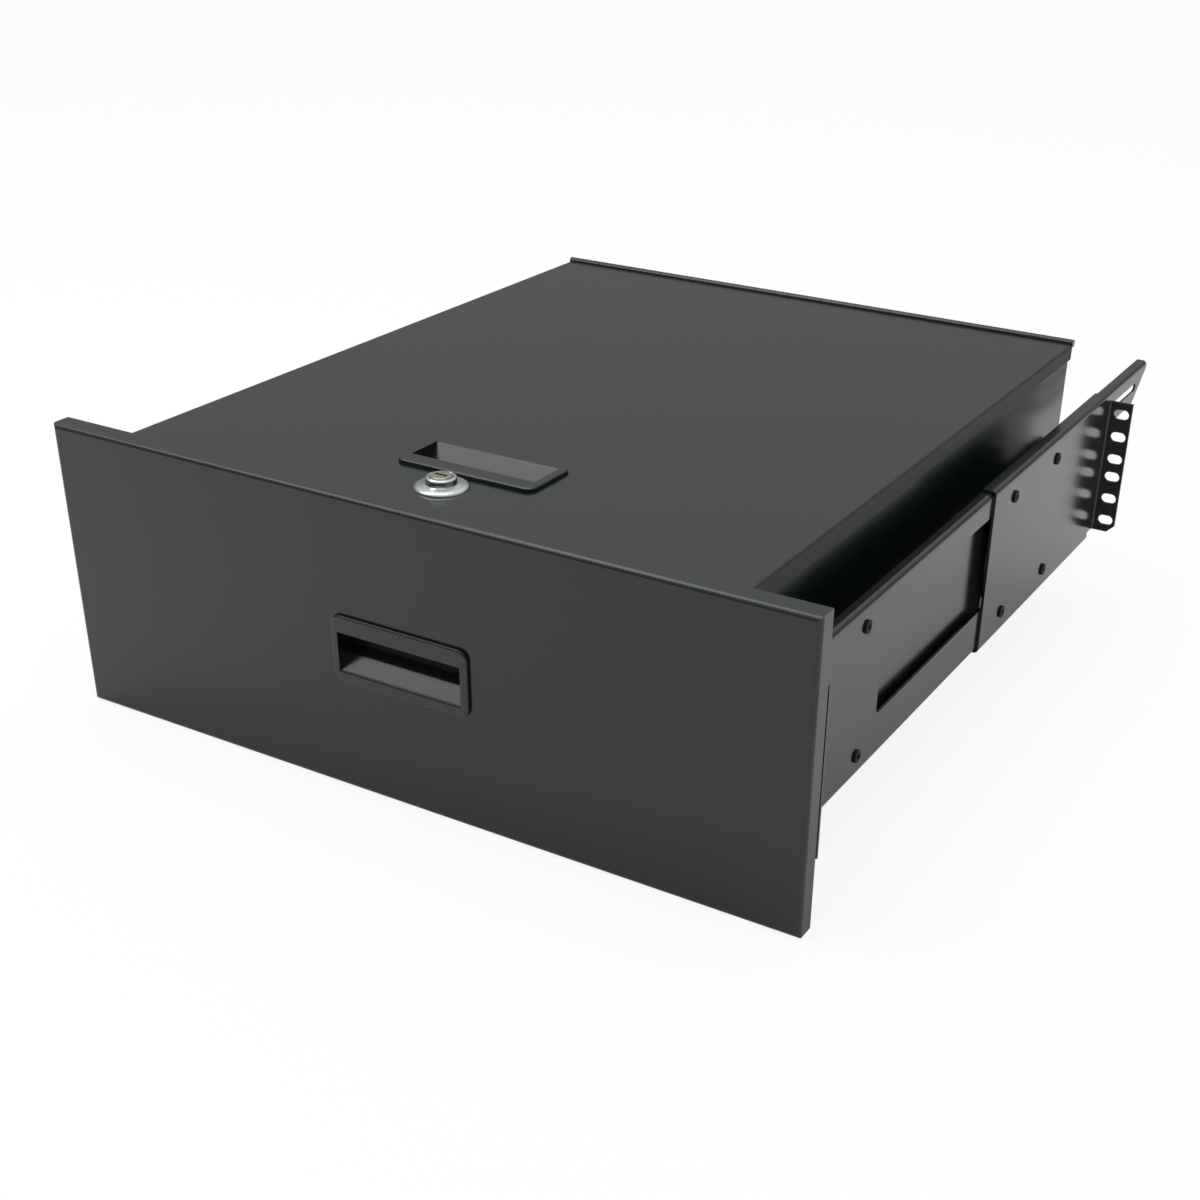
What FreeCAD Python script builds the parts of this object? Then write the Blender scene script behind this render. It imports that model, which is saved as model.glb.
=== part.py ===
# Lockable sliding rack drawer, four rack units tall, on ball-bearing slides between
# depth-adjustable rails. Millimetres. X is across the rack, Y goes to the rear, Z is up.
# The origin is the middle of the front rack-hole pattern, on the rack's front face.
import FreeCAD, Part
import math
import os

V = FreeCAD.Vector
os.makedirs("parts", exist_ok=True)

TOLERANCE = 0.01            # for picking out edges by their place
HEX_SIDES = 6
QUARTER_TURN = 90.0

# Rack and front panel
RACK_WIDTH = 482.6          # overall width of a 19-inch front
PANEL_HEIGHT = 177.0        # four units less the running gap
PANEL_SHEET = 2.0
PANEL_RETURN = 12.6         # depth of the folded rim
PANEL_BEND = 1.0            # inside radius of the rim's fold
HOLE_SPAN = 465.1           # across the rack, slot centre to slot centre
HOLE_ROWS = (6.35, 22.225, 38.1)    # hole heights above and below the middle, on the rack's pitch
HOLE_WIDTH = 6.8
HOLE_LENGTH = 10.3

# Rails fixed to the rack
RAIL_SHEET = 1.5
RAIL_BEND = 1.5
RAIL_OUTSIDE = 444.0        # over the outer faces of the front rails
RAIL_HEIGHT = 102.0
RAIL_FLANGE = 7.0
RAIL_FULL_LENGTH = 430.0    # full-height part, behind the rack face
PANEL_TO_EAR_GAP = 1.5
WINDOW_FRONT = 109.0
WINDOW_REAR = 271.5
WINDOW_BOTTOM = -23.5
WINDOW_TOP = 36.5
WINDOW_CORNER = 3.0
TAIL_LENGTH = 142.0         # slotted arm behind the full-height part
TAIL_HEIGHT = 25.0
TAIL_CUT = 26.0             # slope on the arm's lower corner
TAIL_CUT_RISE = 20.0
TAIL_SLOT_LENGTH = 70.0
TAIL_SLOT_TO_END = 22.0
FRONT_SCREW_Y = 86.0

# Rear brackets
BRACKET_FRONT = 264.5       # front edge of the bracket
BRACKET_FACE = 484.5        # rear rack face
BRACKET_NEST_GAP = 0.15     # between the bracket and the rail inside it
BRACKET_SCREW_Y = (300.0, 377.0)
BRACKET_FORWARD = 12.0      # adjustment towards the front
BRACKET_BACKWARD = 40.0     # adjustment towards the rear
BRACKET_CORNER = 5.0
REAR_EAR_SIDE = 239.5       # outer edge of the rear rack flange
REAR_EAR_HEIGHT = 93.0

# Screws and rivets
SCREW_DIAMETER = 5.0
SCREW_HEAD_DIAMETER = 7.6
SCREW_HEAD_HEIGHT = 1.4
SCREW_SOCKET = 3.0
SOCKET_DEPTH = 0.9
NUT_ACROSS_FLATS = 8.0
NUT_HEIGHT = 3.0
SCREW_HOLE_GAP = 0.25
RIVET_DIAMETER = 3.2
RIVET_HEAD_DIAMETER = 6.0
RIVET_HEAD_HEIGHT = 0.9
RIVET_TAIL_DIAMETER = 4.4

# Drawer box
BOX_WIDTH = 393.0
BOX_LENGTH = 466.0
BOX_SHEET = 1.2
BOX_BEND = 1.0
BOX_FLOOR_HEIGHT = 9.0      # underside of the box above the panel's lower edge
BOX_LIP = 10.0              # turned-in top edge of the side walls
END_LAP = 14.0              # side flange of the front and rear walls
END_LIP = 16.0              # turned-in top edge of the front wall
WALL_GAP = 0.1

# Lid
LID_SHEET = 1.5
LID_BEND = 0.8
LID_DROP = 2.4              # lid top below the panel's upper edge
LID_FLANGE = 10.0           # outside depth of the turned-down edge
LID_SIDE_GAP = 0.3
LID_SEAT_GAP = 0.2
LID_FRONT_GAP = 0.4

# Continuous hinge
KNUCKLE_DIAMETER = 5.0
HINGE_PIN_DIAMETER = 2.4
HINGE_PIN_GAP = 0.05
HINGE_LEAF_SHEET = 1.0
HINGE_KNUCKLES = 15
HINGE_KNUCKLE_GAP = 0.3
BOX_LEAF_HEIGHT = 22.0      # down the rear wall, from the pin
LID_LEAF_DEPTH = 24.0       # forwards under the lid, from its rear edge
HINGE_RIVETS = 5

# Cam lock
LOCK_X = 0.0
LOCK_Y = 27.4
LOCK_COLLAR_DIAMETER = 30.0
LOCK_COLLAR_HEIGHT = 2.4
LOCK_BODY_DIAMETER = 19.0
LOCK_BODY_FLATS = 16.0
LOCK_BODY_LENGTH = 17.0
LOCK_HUB_DIAMETER = 17.0
LOCK_HUB_HEIGHT = 4.0
LOCK_HUB_EDGE = 1.0         # radius round the hub's top
PLUG_DIAMETER = 12.0
PLUG_GAP = 0.05
PLUG_HEIGHT = 0.8
KEYWAY_LENGTH = 7.6
KEYWAY_WIDTH = 1.8
KEYWAY_DEPTH = 9.0
LOCK_NUT_FLATS = 24.0
LOCK_NUT_HEIGHT = 4.0
CAM_SHEET = 2.5
CAM_WIDTH = 15.0
CAM_REACH = 20.0            # from the plug's axis to the middle of the cam's round tip
CAM_BODY_GAP = 0.4
CAM_SQUARE = 7.0
CAM_SCREW_HEAD = 9.0
CAM_SCREW_HEIGHT = 2.2
KEEPER_SHEET = 2.0
KEEPER_WIDTH = 52.0
KEEPER_DEPTH = 16.0
KEEPER_HEIGHT = 12.0
KEEPER_GAP = 0.6            # between the cam and the keeper above it

# Recessed pulls
PULL_WIDTH = 90.0
PULL_HEIGHT = 40.0
PULL_CORNER = 6.0
PULL_RIM = 2.4              # how far the rim stands off the sheet
PULL_RIM_EDGE = 1.6         # radius round the rim's outside
PULL_LIP = 2.0              # radius where the cup's floor meets the rim's low edge
PULL_SIDE_MARGIN = 4.6
PULL_LOW_MARGIN = 6.5
PULL_HIGH_MARGIN = 10.0
PULL_WALL = 1.1
PULL_DEPTH = 10.4           # inside, behind the sheet's front face
PULL_UNDERCUT = 4.5         # finger space behind the rim's upper edge
PULL_FLOOR_REACH = 21.0     # height of the pocket's back
PULL_BACK_LEAN = 5.0        # how far the back leans forwards at its top
PULL_SCOOP = 6.0            # radius between the cup's floor and its back
PULL_HOLE_GAP = 0.2
LID_PULL_Y = 65.0

# Ball-bearing slides
SLIDE_HEIGHT = 45.5
SLIDE_THICKNESS = 12.7
SLIDE_SHORTER = 16.0        # how much shorter the slide is than the box
SLIDE_SETBACK = 5.0         # front end behind the rack face
SLIDE_SHEET = 1.2
MEMBER_SETBACK = 2.0        # inner members start behind the outer member's end
SLIDE_BALL = 3.5
BALL_GAP = 0.15
OUTER_BALL_U = 6.5          # ball row, from the outer member's back
INNER_BALL_U = 7.2
MIDDLE_WEB_U = 2.4
MIDDLE_FLANGE_END_U = 9.8
CAGE_SHEET = 0.4
OUTER_CAGE_U = 1.5
INNER_CAGE_U = 3.8
OUTER_CAGE_END_U = 9.0
INNER_CAGE_END_U = 9.4
CAGE_END_ROOM = 7.5         # from a cage's end to a member's end, fully open
CAGE_BALL_GAP = 0.2
CAGE_BALLS = 5
CAGE_EDGE = 11.0            # first ball's centre from the cage's end
LIP_TRIM = 0.65             # how far the races' edges stop above the ball's middle
INNER_LIP_TRIM = 1.35
MIDDLE_BEND = 1.0
CAGE_BEND = 0.3
BUMPER_LENGTH = 7.0
BUMPER_GAP = 0.3
BUMPER_HEIGHT = 38.0

# Brackets that carry the slides
CARRIER_SHEET = 1.5
CARRIER_BEND = 1.0
CARRIER_HEIGHT = 61.0
CARRIER_FOOT_HEIGHT = 92.0
FRONT_CARRIER_FOOT = (69.0, 102.0)
FRONT_CARRIER_END = 275.0
REAR_CARRIER_FOOT = (401.0, 428.0)
REAR_CARRIER_END = 292.0
CARRIER_JOGGLE_LENGTH = 6.0
CARRIER_RIVETS_FRONT = (122.0, 258.0)
CARRIER_RIVETS_REAR = (305.0, 372.0)
MEMBER_SCREW_TO_END = 53.0  # outermost box screws, from the slide's ends
MEMBER_SCREW_DIAMETER = 4.0
MEMBER_SCREW_HEAD = 8.0
MEMBER_SCREW_HEAD_HEIGHT = 1.8
MEMBER_SCREW_END = 1.5

# Standoffs between the panel and the box
STANDOFF_DIAMETER = 8.0
STANDOFF_BORE_DEPTH = 8.0
STANDOFF_X = (60.0, 172.0)
STANDOFF_TO_EDGE = 26.5     # standoff rows from the panel's upper and lower edges

# Worked-out places
PANEL_TOP = PANEL_HEIGHT / 2
PANEL_SIDE = RACK_WIDTH / 2
EAR_FRONT = -RAIL_SHEET
PANEL_BACK_RIM = EAR_FRONT - PANEL_TO_EAR_GAP
PANEL_FRONT = PANEL_BACK_RIM - PANEL_RETURN
PANEL_INSIDE = PANEL_FRONT + PANEL_SHEET
RAIL_X = RAIL_OUTSIDE / 2
RAIL_INNER_X = RAIL_X - RAIL_SHEET
RAIL_TOP = RAIL_HEIGHT / 2
RAIL_REAR = RAIL_FULL_LENGTH
BRACKET_INNER_X = RAIL_X
BRACKET_X = BRACKET_INNER_X + RAIL_SHEET
BRACKET_TOP = RAIL_TOP + BRACKET_NEST_GAP + RAIL_SHEET
ROW_HEIGHT = HOLE_ROWS[-1]  # the rails' screw rows, above and below the middle
BOX_X = BOX_WIDTH / 2
BOX_FRONT = PANEL_BACK_RIM
BOX_REAR = BOX_FRONT + BOX_LENGTH
BOX_BOTTOM = -PANEL_TOP + BOX_FLOOR_HEIGHT
LID_TOP = PANEL_TOP - LID_DROP
LID_UNDER = LID_TOP - LID_SHEET
BOX_TOP = LID_UNDER - LID_SEAT_GAP
LID_X = BOX_X + LID_SIDE_GAP + LID_SHEET
LID_FRONT = PANEL_BACK_RIM + LID_FRONT_GAP
KNUCKLE_RADIUS = KNUCKLE_DIAMETER / 2
HINGE_Y = BOX_REAR + KNUCKLE_RADIUS
LID_LEAF_UNDER = LID_UNDER - HINGE_LEAF_SHEET
HINGE_Z = LID_LEAF_UNDER + KNUCKLE_RADIUS
LID_REAR = BOX_REAR - HINGE_KNUCKLE_GAP
LID_LEAF_FRONT = LID_REAR - LID_LEAF_DEPTH
REAR_WALL_TOP = BOX_TOP - BOX_SHEET - BOX_BEND
SLIDE_LENGTH = BOX_LENGTH - SLIDE_SHORTER
SLIDE_FRONT = SLIDE_SETBACK
SLIDE_REAR = SLIDE_FRONT + SLIDE_LENGTH
MEMBER_FRONT = SLIDE_FRONT + MEMBER_SETBACK
MEMBER_REAR = SLIDE_REAR - BUMPER_LENGTH - BUMPER_GAP
MEMBER_SCREW_FRONT = SLIDE_FRONT + MEMBER_SCREW_TO_END
MEMBER_SCREW_REAR = SLIDE_REAR - MEMBER_SCREW_TO_END
MEMBER_SCREW_MIDDLE = (MEMBER_SCREW_FRONT + MEMBER_SCREW_REAR) / 2
MEMBER_SCREW_Y = (MEMBER_SCREW_FRONT, MEMBER_SCREW_MIDDLE, MEMBER_SCREW_REAR)
OUTER_CAGE_TRAVEL = SLIDE_LENGTH / 4    # a cage rolls half as far as the member between
CAGE_FRONT = SLIDE_FRONT + OUTER_CAGE_TRAVEL + CAGE_END_ROOM
CAGE_REAR = MEMBER_REAR - OUTER_CAGE_TRAVEL - CAGE_END_ROOM
CARRIER_INNER_X = BOX_X + SLIDE_THICKNESS
CARRIER_X = CARRIER_INNER_X + CARRIER_SHEET
BALL_RADIUS = SLIDE_BALL / 2
RACE_RADIUS = BALL_RADIUS + BALL_GAP
OUTER_RACE_V = SLIDE_HEIGHT / 2 - SLIDE_SHEET - RACE_RADIUS
MIDDLE_TOP_V = OUTER_RACE_V - RACE_RADIUS
INNER_RACE_V = MIDDLE_TOP_V - SLIDE_SHEET - RACE_RADIUS
INNER_TOP_V = INNER_RACE_V - RACE_RADIUS


def save(name, *solids):
    """Write one sub-part, which may be several separate solids."""
    shape = solids[0] if len(solids) == 1 else Part.makeCompound(list(solids))
    shape.exportStep("parts/" + name + ".step")


def block(x0, x1, y0, y1, z0, z1):
    return Part.makeBox(x1 - x0, y1 - y0, z1 - z0, V(x0, y0, z0))


def joined(first, *others):
    return first.fuse(list(others)).removeSplitter() if others else first


def mirrored(shape):
    """The other side's copy of a piece that is modelled on the right."""
    return shape.mirror(V(0, 0, 0), V(1, 0, 0))


def both_sides(name, *solids):
    save(name + "_right", *solids)
    save(name + "_left", *[mirrored(solid) for solid in solids])


def rod(axis, centre, radius, start, end):
    """Round bar along an axis; centre gives the other two coordinates in X, Y, Z order."""
    a, b = centre
    base, way = {
        "x": (V(start, a, b), V(1, 0, 0)),
        "y": (V(a, start, b), V(0, 1, 0)),
        "z": (V(a, b, start), V(0, 0, 1)),
    }[axis]
    return Part.makeCylinder(radius, end - start, base, way)


def to_space(axis, a, b, along=0.0):
    """A profile's point in space: the profile lies across the axis, in X, Y, Z order."""
    return {"x": V(along, a, b), "y": V(a, along, b), "z": V(a, b, along)}[axis]


def direction(axis):
    return {"x": V(1, 0, 0), "y": V(0, 1, 0), "z": V(0, 0, 1)}[axis]


def prism(axis, points, start, end):
    """Straight-sided profile drawn along an axis."""
    corners = [to_space(axis, a, b, start) for a, b in points]
    face = Part.Face(Part.makePolygon(corners + corners[:1]))
    return face.extrude(direction(axis) * (end - start))


def obround(axis, centre, length, width, along, start, end):
    """Round-ended slot cutter; along is 0 or 1, the profile's coordinate it runs along."""
    a, b = centre
    half = (length - width) / 2
    ends = [(a - half, b), (a + half, b)] if along == 0 else [(a, b - half), (a, b + half)]
    tool = [rod(axis, end_point, width / 2, start, end) for end_point in ends]
    (a0, b0), (a1, b1) = ends
    side = width / 2
    if along == 0:
        middle = [(a0, b0 - side), (a1, b0 - side), (a1, b0 + side), (a0, b0 + side)]
    else:
        middle = [(a0 - side, b0), (a0 + side, b0), (a0 + side, b1), (a0 - side, b1)]
    return joined(prism(axis, middle, start, end), *tool)


def corner_radius(turn, inside, bend, sheet):
    """Radius of a folded strip's corner on its drawn side."""
    return bend + sheet if turn == inside else bend


def rounded_path(points, radii):
    """Edges of an open line in a plane, as lines and arcs, with its corners rounded."""
    vectors = [V(a, b, 0) for a, b in points]
    pieces = []
    here = vectors[0]
    for before, corner, after, radius in zip(vectors, vectors[1:], vectors[2:], radii):
        back = (before - corner).normalize()
        onward = (after - corner).normalize()
        half_angle = back.getAngle(onward) / 2
        reach = radius / math.tan(half_angle)
        leave = corner + back * reach
        arrive = corner + onward * reach
        centre_way = (back + onward).normalize()
        middle = corner + centre_way * (radius / math.sin(half_angle) - radius)
        pieces.append((here, leave))
        pieces.append((leave, middle, arrive))
        here = arrive
    pieces.append((here, vectors[-1]))
    return [piece for piece in pieces if piece[0].distanceToPoint(piece[-1]) > TOLERANCE]


def turned(points, index):
    """1 where an open line turns left at this corner, -1 where it turns right."""
    (a0, b0), (a1, b1), (a2, b2) = points[index - 1:index + 2]
    return 1 if (a1 - a0) * (b2 - b1) - (b1 - b0) * (a2 - a1) > 0 else -1


def offset_path(points, distance):
    """The open line moved sideways, to its left where the distance is positive."""
    moved = []
    for start, end in zip(points, points[1:]):
        way = (V(end[0] - start[0], end[1] - start[1], 0)).normalize()
        shift = V(-way.y, way.x, 0) * distance
        moved.append((V(start[0], start[1], 0) + shift, way))
    result = [moved[0][0]]
    for (p, d), (q, e) in zip(moved, moved[1:]):
        cross = d.x * e.y - d.y * e.x
        reach = ((q.x - p.x) * e.y - (q.y - p.y) * e.x) / cross
        result.append(p + d * reach)
    last = V(points[-1][0], points[-1][1], 0)
    way = moved[-1][1]
    result.append(last + V(-way.y, way.x, 0) * distance)
    return [(point.x, point.y) for point in result]


def folded(axis, points, sheet, bend, start, end):
    """Sheet folded along an axis: the line is one face, and the metal lies to its left
    where sheet is positive and to its right where it is negative."""
    inside = 1 if sheet > 0 else -1
    thickness = abs(sheet)
    turns = [turned(points, index) for index in range(1, len(points) - 1)]
    drawn = [corner_radius(turn, inside, bend, thickness) for turn in turns]
    other = [corner_radius(-turn, inside, bend, thickness) for turn in turns]
    near = rounded_path(points, drawn)
    far = rounded_path(offset_path(points, sheet), other)
    ends = [(near[0][0], far[0][0]), (near[-1][-1], far[-1][-1])]
    edges = []
    for piece in near + far + ends:
        place = [to_space(axis, p.x, p.y, start) for p in piece]
        curve = Part.LineSegment(*place) if len(place) == 2 else Part.Arc(*place)
        edges.append(curve.toShape())
    face = Part.Face(Part.Wire(Part.__sortEdges__(edges)))
    return face.extrude(direction(axis) * (end - start))


def edges_where(shape, test):
    return [edge for edge in shape.Edges if test(edge.BoundBox)]


def rounded(shape, radius, test):
    """Fillet the straight edges whose box passes the test."""
    return shape.makeFillet(radius, edges_where(shape, test))


def is_at(low, high, place):
    return abs(low - place) < TOLERANCE and abs(high - place) < TOLERANCE


def hexagon(axis, centre, flats, start, end):
    reach = flats / math.sqrt(3)
    side_turn = 2 * math.pi / HEX_SIDES
    turns = [side_turn * (index + 1 / 2) for index in range(HEX_SIDES)]
    points = [(centre[0] + reach * math.cos(t), centre[1] + reach * math.sin(t)) for t in turns]
    return prism(axis, points, start, end)


def rod_between(axis, centre, diameter, one_end, other_end):
    return rod(axis, centre, diameter / 2, min(one_end, other_end), max(one_end, other_end))


def screw(axis, centre, face, way, grip, sizes):
    """Low-head screw with a hex socket. The head stands off the face, way is 1 or -1
    along the axis, and sizes are head diameter, head height, shank diameter and socket."""
    head_diameter, head_height, shank_diameter, socket_flats = sizes
    top = face + way * head_height
    head = rod_between(axis, centre, head_diameter, face, top)
    floor = top - way * SOCKET_DEPTH
    socket = hexagon(axis, centre, socket_flats, min(floor, top), max(floor, top))
    shank = rod_between(axis, centre, shank_diameter, face, face - way * grip)
    return joined(head.cut(socket), shank)


def nut(axis, centre, flats, bore, start, end):
    body = hexagon(axis, centre, flats, start, end)
    return body.cut(rod(axis, centre, bore / 2, start, end))


def rivet(axis, centre, head_face, way, grip, tail_height):
    """Low-head rivet. The head stands off its face, way is 1 or -1 along the axis, and
    a tail height of zero is an end set flush."""
    head_top = head_face + way * RIVET_HEAD_HEIGHT
    head = rod_between(axis, centre, RIVET_HEAD_DIAMETER, head_face, head_top)
    far = head_face - way * grip
    shank = rod_between(axis, centre, RIVET_DIAMETER, head_face, far)
    if not tail_height:
        return joined(head, shank)
    tail = rod_between(axis, centre, RIVET_TAIL_DIAMETER, far, far - way * tail_height)
    return joined(head, shank, tail)


def rivet_hole(axis, centre, start, end):
    return rod(axis, centre, RIVET_DIAMETER / 2, start, end)


# Front panel: a pan with a rim folded back on all four sides
def pull_hole(axis, low, high, start, end):
    half = PULL_WIDTH / 2 - PULL_SIDE_MARGIN + PULL_WALL + PULL_HOLE_GAP
    return prism(axis, [(-half, low), (half, low), (half, high), (-half, high)], start, end)


PULL_OPENING_LOW = -PULL_HEIGHT / 2 + PULL_LOW_MARGIN
PULL_OPENING_HIGH = PULL_HEIGHT / 2 - PULL_HIGH_MARGIN
PULL_POCKET_HIGH = PULL_OPENING_HIGH + PULL_UNDERCUT
PULL_HOLE_LOW = PULL_OPENING_LOW - PULL_WALL - PULL_HOLE_GAP
PULL_HOLE_HIGH = PULL_POCKET_HIGH + PULL_WALL + PULL_HOLE_GAP

PAN_X = PANEL_SIDE - PANEL_SHEET
PAN_Z = PANEL_TOP - PANEL_SHEET
PAN_OPEN = PANEL_BACK_RIM + PANEL_SHEET
pan_outer = block(-PANEL_SIDE, PANEL_SIDE, PANEL_FRONT, PANEL_BACK_RIM, -PANEL_TOP, PANEL_TOP)
pan_outer = rounded(pan_outer, PANEL_BEND + PANEL_SHEET, lambda b: is_at(b.YMin, b.YMax, PANEL_FRONT))
pan_inner = block(-PAN_X, PAN_X, PANEL_INSIDE, PAN_OPEN, -PAN_Z, PAN_Z)
pan_inner = rounded(pan_inner, PANEL_BEND, lambda b: is_at(b.YMin, b.YMax, PANEL_INSIDE))
front_pull_hole = pull_hole("y", PULL_HOLE_LOW, PULL_HOLE_HIGH, PANEL_FRONT, PANEL_INSIDE)
save("front_panel", pan_outer.cut([pan_inner, front_pull_hole]))


# Recessed pull: a moulded cup whose floor slopes out to its low edge, with finger space
# behind the rim's high edge. Drawn facing -Y with the sheet's face at Y zero.
def recessed_pull():
    half = PULL_WIDTH / 2
    pocket_half = half - PULL_SIDE_MARGIN
    rim = block(-half, half, -PULL_RIM, 0, -PULL_HEIGHT / 2, PULL_HEIGHT / 2)
    rim = rounded(rim, PULL_CORNER, lambda b: b.YMax - b.YMin > PULL_RIM - TOLERANCE)
    rim = rounded(rim, PULL_RIM_EDGE, lambda b: is_at(b.YMin, b.YMax, -PULL_RIM))
    back = PULL_DEPTH + PULL_WALL
    floor_low = PULL_POCKET_HIGH - PULL_FLOOR_REACH
    cup = [(0, PULL_OPENING_LOW - PULL_WALL), (back, floor_low - PULL_WALL),
           (back - PULL_BACK_LEAN, PULL_POCKET_HIGH + PULL_WALL), (0, PULL_POCKET_HIGH + PULL_WALL)]
    pocket = [(-PULL_RIM, PULL_OPENING_LOW), (PULL_DEPTH, floor_low),
              (PULL_DEPTH - PULL_BACK_LEAN, PULL_POCKET_HIGH), (0, PULL_POCKET_HIGH),
              (0, PULL_OPENING_HIGH), (-PULL_RIM, PULL_OPENING_HIGH)]
    cup_solid = prism("x", cup, -pocket_half - PULL_WALL, pocket_half + PULL_WALL)
    cup_solid = rounded(cup_solid, PULL_SCOOP + PULL_WALL, lambda b: is_at(b.YMin, b.YMax, back))
    pocket_solid = prism("x", pocket, -pocket_half, pocket_half)
    pocket_solid = rounded(pocket_solid, PULL_SCOOP, lambda b: is_at(b.YMin, b.YMax, PULL_DEPTH))
    pull = joined(rim, cup_solid).cut(pocket_solid)
    return rounded(pull, PULL_LIP, lambda b: (is_at(b.YMin, b.YMax, -PULL_RIM)
                                              and is_at(b.ZMin, b.ZMax, PULL_OPENING_LOW)))


front_pull = recessed_pull()
front_pull.translate(V(0, PANEL_FRONT, 0))
save("front_pull", front_pull)


# Drawer box: floor and sides folded from one sheet, with pan-shaped front and rear walls
FLOOR_TOP = BOX_BOTTOM + BOX_SHEET
WALL_X = BOX_X - BOX_SHEET
STANDOFF_Z = PANEL_TOP - STANDOFF_TO_EDGE
STANDOFFS = [(x * side, z) for x in STANDOFF_X for side in (1, -1) for z in (STANDOFF_Z, -STANDOFF_Z)]
PANEL_SCREW = (MEMBER_SCREW_HEAD, MEMBER_SCREW_HEAD_HEIGHT, MEMBER_SCREW_DIAMETER, SCREW_SOCKET)
FRONT_WALL_INSIDE = BOX_FRONT + BOX_SHEET
LOCK_BODY_BOTTOM = LID_TOP - LOCK_BODY_LENGTH
CAM_TOP = LOCK_BODY_BOTTOM - CAM_BODY_GAP
CAM_BOTTOM = CAM_TOP - CAM_SHEET
KEEPER_BOTTOM = CAM_TOP + KEEPER_GAP
KEEPER_RIVET_Z = KEEPER_BOTTOM + KEEPER_HEIGHT / 2 + KEEPER_SHEET / 2
KEEPER_RIVET_SIDE = KEEPER_WIDTH / 2 - RIVET_HEAD_DIAMETER
KEEPER_RIVET_X = (LOCK_X - KEEPER_RIVET_SIDE, LOCK_X + KEEPER_RIVET_SIDE)


def end_wall(face, inward, top):
    """Pan between the side walls: its plate at one end, its flanges turned into the box."""
    x = WALL_X - WALL_GAP
    lap = END_LIP if inward > 0 else END_LAP
    inner_face = face + inward * BOX_SHEET
    rim = face + inward * lap
    past = rim + inward * BOX_SHEET
    outer = block(-x, x, min(face, rim), max(face, rim), FLOOR_TOP, top)
    inner = block(-x + BOX_SHEET, x - BOX_SHEET, min(inner_face, past), max(inner_face, past),
                  FLOOR_TOP + BOX_SHEET, top - BOX_SHEET)
    outer = rounded(outer, BOX_BEND + 2 * WALL_GAP,
                    lambda b: b.YMax - b.YMin > BOX_LIP and is_at(b.ZMin, b.ZMax, FLOOR_TOP))
    outer = rounded(outer, BOX_BEND + BOX_SHEET, lambda b: is_at(b.YMin, b.YMax, face))
    inner = rounded(inner, BOX_BEND, lambda b: is_at(b.YMin, b.YMax, inner_face))
    return outer.cut(inner)


tray_line = [(BOX_X - BOX_LIP, BOX_TOP), (BOX_X, BOX_TOP), (BOX_X, BOX_BOTTOM),
             (-BOX_X, BOX_BOTTOM), (-BOX_X, BOX_TOP), (-BOX_X + BOX_LIP, BOX_TOP)]
box_tray = folded("y", tray_line, -BOX_SHEET, BOX_BEND, BOX_FRONT, BOX_REAR)
lip_notch = block(-WALL_X, WALL_X, BOX_FRONT, BOX_FRONT + END_LIP + WALL_GAP, 0, BOX_TOP)
rear_notch = block(-BOX_X, BOX_X, LID_LEAF_FRONT - WALL_GAP, BOX_REAR, REAR_WALL_TOP, BOX_TOP)
member_holes = [rod("x", (y, 0), MEMBER_SCREW_DIAMETER / 2, -BOX_X, BOX_X) for y in MEMBER_SCREW_Y]
save("box_tray", box_tray.cut([lip_notch, rear_notch] + member_holes))

front_wall = end_wall(BOX_FRONT, 1, BOX_TOP)
standoff_holes = [rod("y", place, MEMBER_SCREW_DIAMETER / 2, BOX_FRONT, FRONT_WALL_INSIDE)
                  for place in STANDOFFS]
keeper_places = [(x, KEEPER_RIVET_Z) for x in KEEPER_RIVET_X]
keeper_holes = [rivet_hole("y", place, BOX_FRONT, FRONT_WALL_INSIDE) for place in keeper_places]
save("box_front_wall", front_wall.cut(standoff_holes + keeper_holes))

BOX_LEAF_FACE = BOX_REAR + HINGE_LEAF_SHEET
RIVET_PITCH = 2 * LID_X / HINGE_RIVETS
HINGE_RIVET_X = [RIVET_PITCH * (index - (HINGE_RIVETS - 1) / 2) for index in range(HINGE_RIVETS)]
BOX_LEAF_RIVET_Z = HINGE_Z - KNUCKLE_RADIUS - (BOX_LEAF_HEIGHT - KNUCKLE_RADIUS) / 2
LID_LEAF_RIVET_Y = LID_REAR - LID_LEAF_DEPTH / 2
box_leaf_places = [(x, BOX_LEAF_RIVET_Z) for x in HINGE_RIVET_X]
lid_leaf_places = [(x, LID_LEAF_RIVET_Y) for x in HINGE_RIVET_X]
box_leaf_holes = [rivet_hole("y", place, BOX_REAR - BOX_SHEET, BOX_LEAF_FACE) for place in box_leaf_places]
lid_leaf_holes = [rivet_hole("z", place, LID_LEAF_UNDER, LID_TOP) for place in lid_leaf_places]
save("box_rear_wall", end_wall(BOX_REAR, -1, REAR_WALL_TOP).cut(box_leaf_holes))

standoffs = []
panel_screws = []
for place in STANDOFFS:
    post = rod("y", place, STANDOFF_DIAMETER / 2, PANEL_INSIDE, BOX_FRONT)
    bore = rod("y", place, MEMBER_SCREW_DIAMETER / 2, BOX_FRONT - STANDOFF_BORE_DEPTH, BOX_FRONT)
    standoffs.append(post.cut(bore))
    grip = STANDOFF_BORE_DEPTH - MEMBER_SCREW_END + BOX_SHEET
    panel_screws.append(screw("y", place, FRONT_WALL_INSIDE, 1, grip, PANEL_SCREW))
save("panel_standoffs", *standoffs)
save("panel_screws", *panel_screws)


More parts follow.
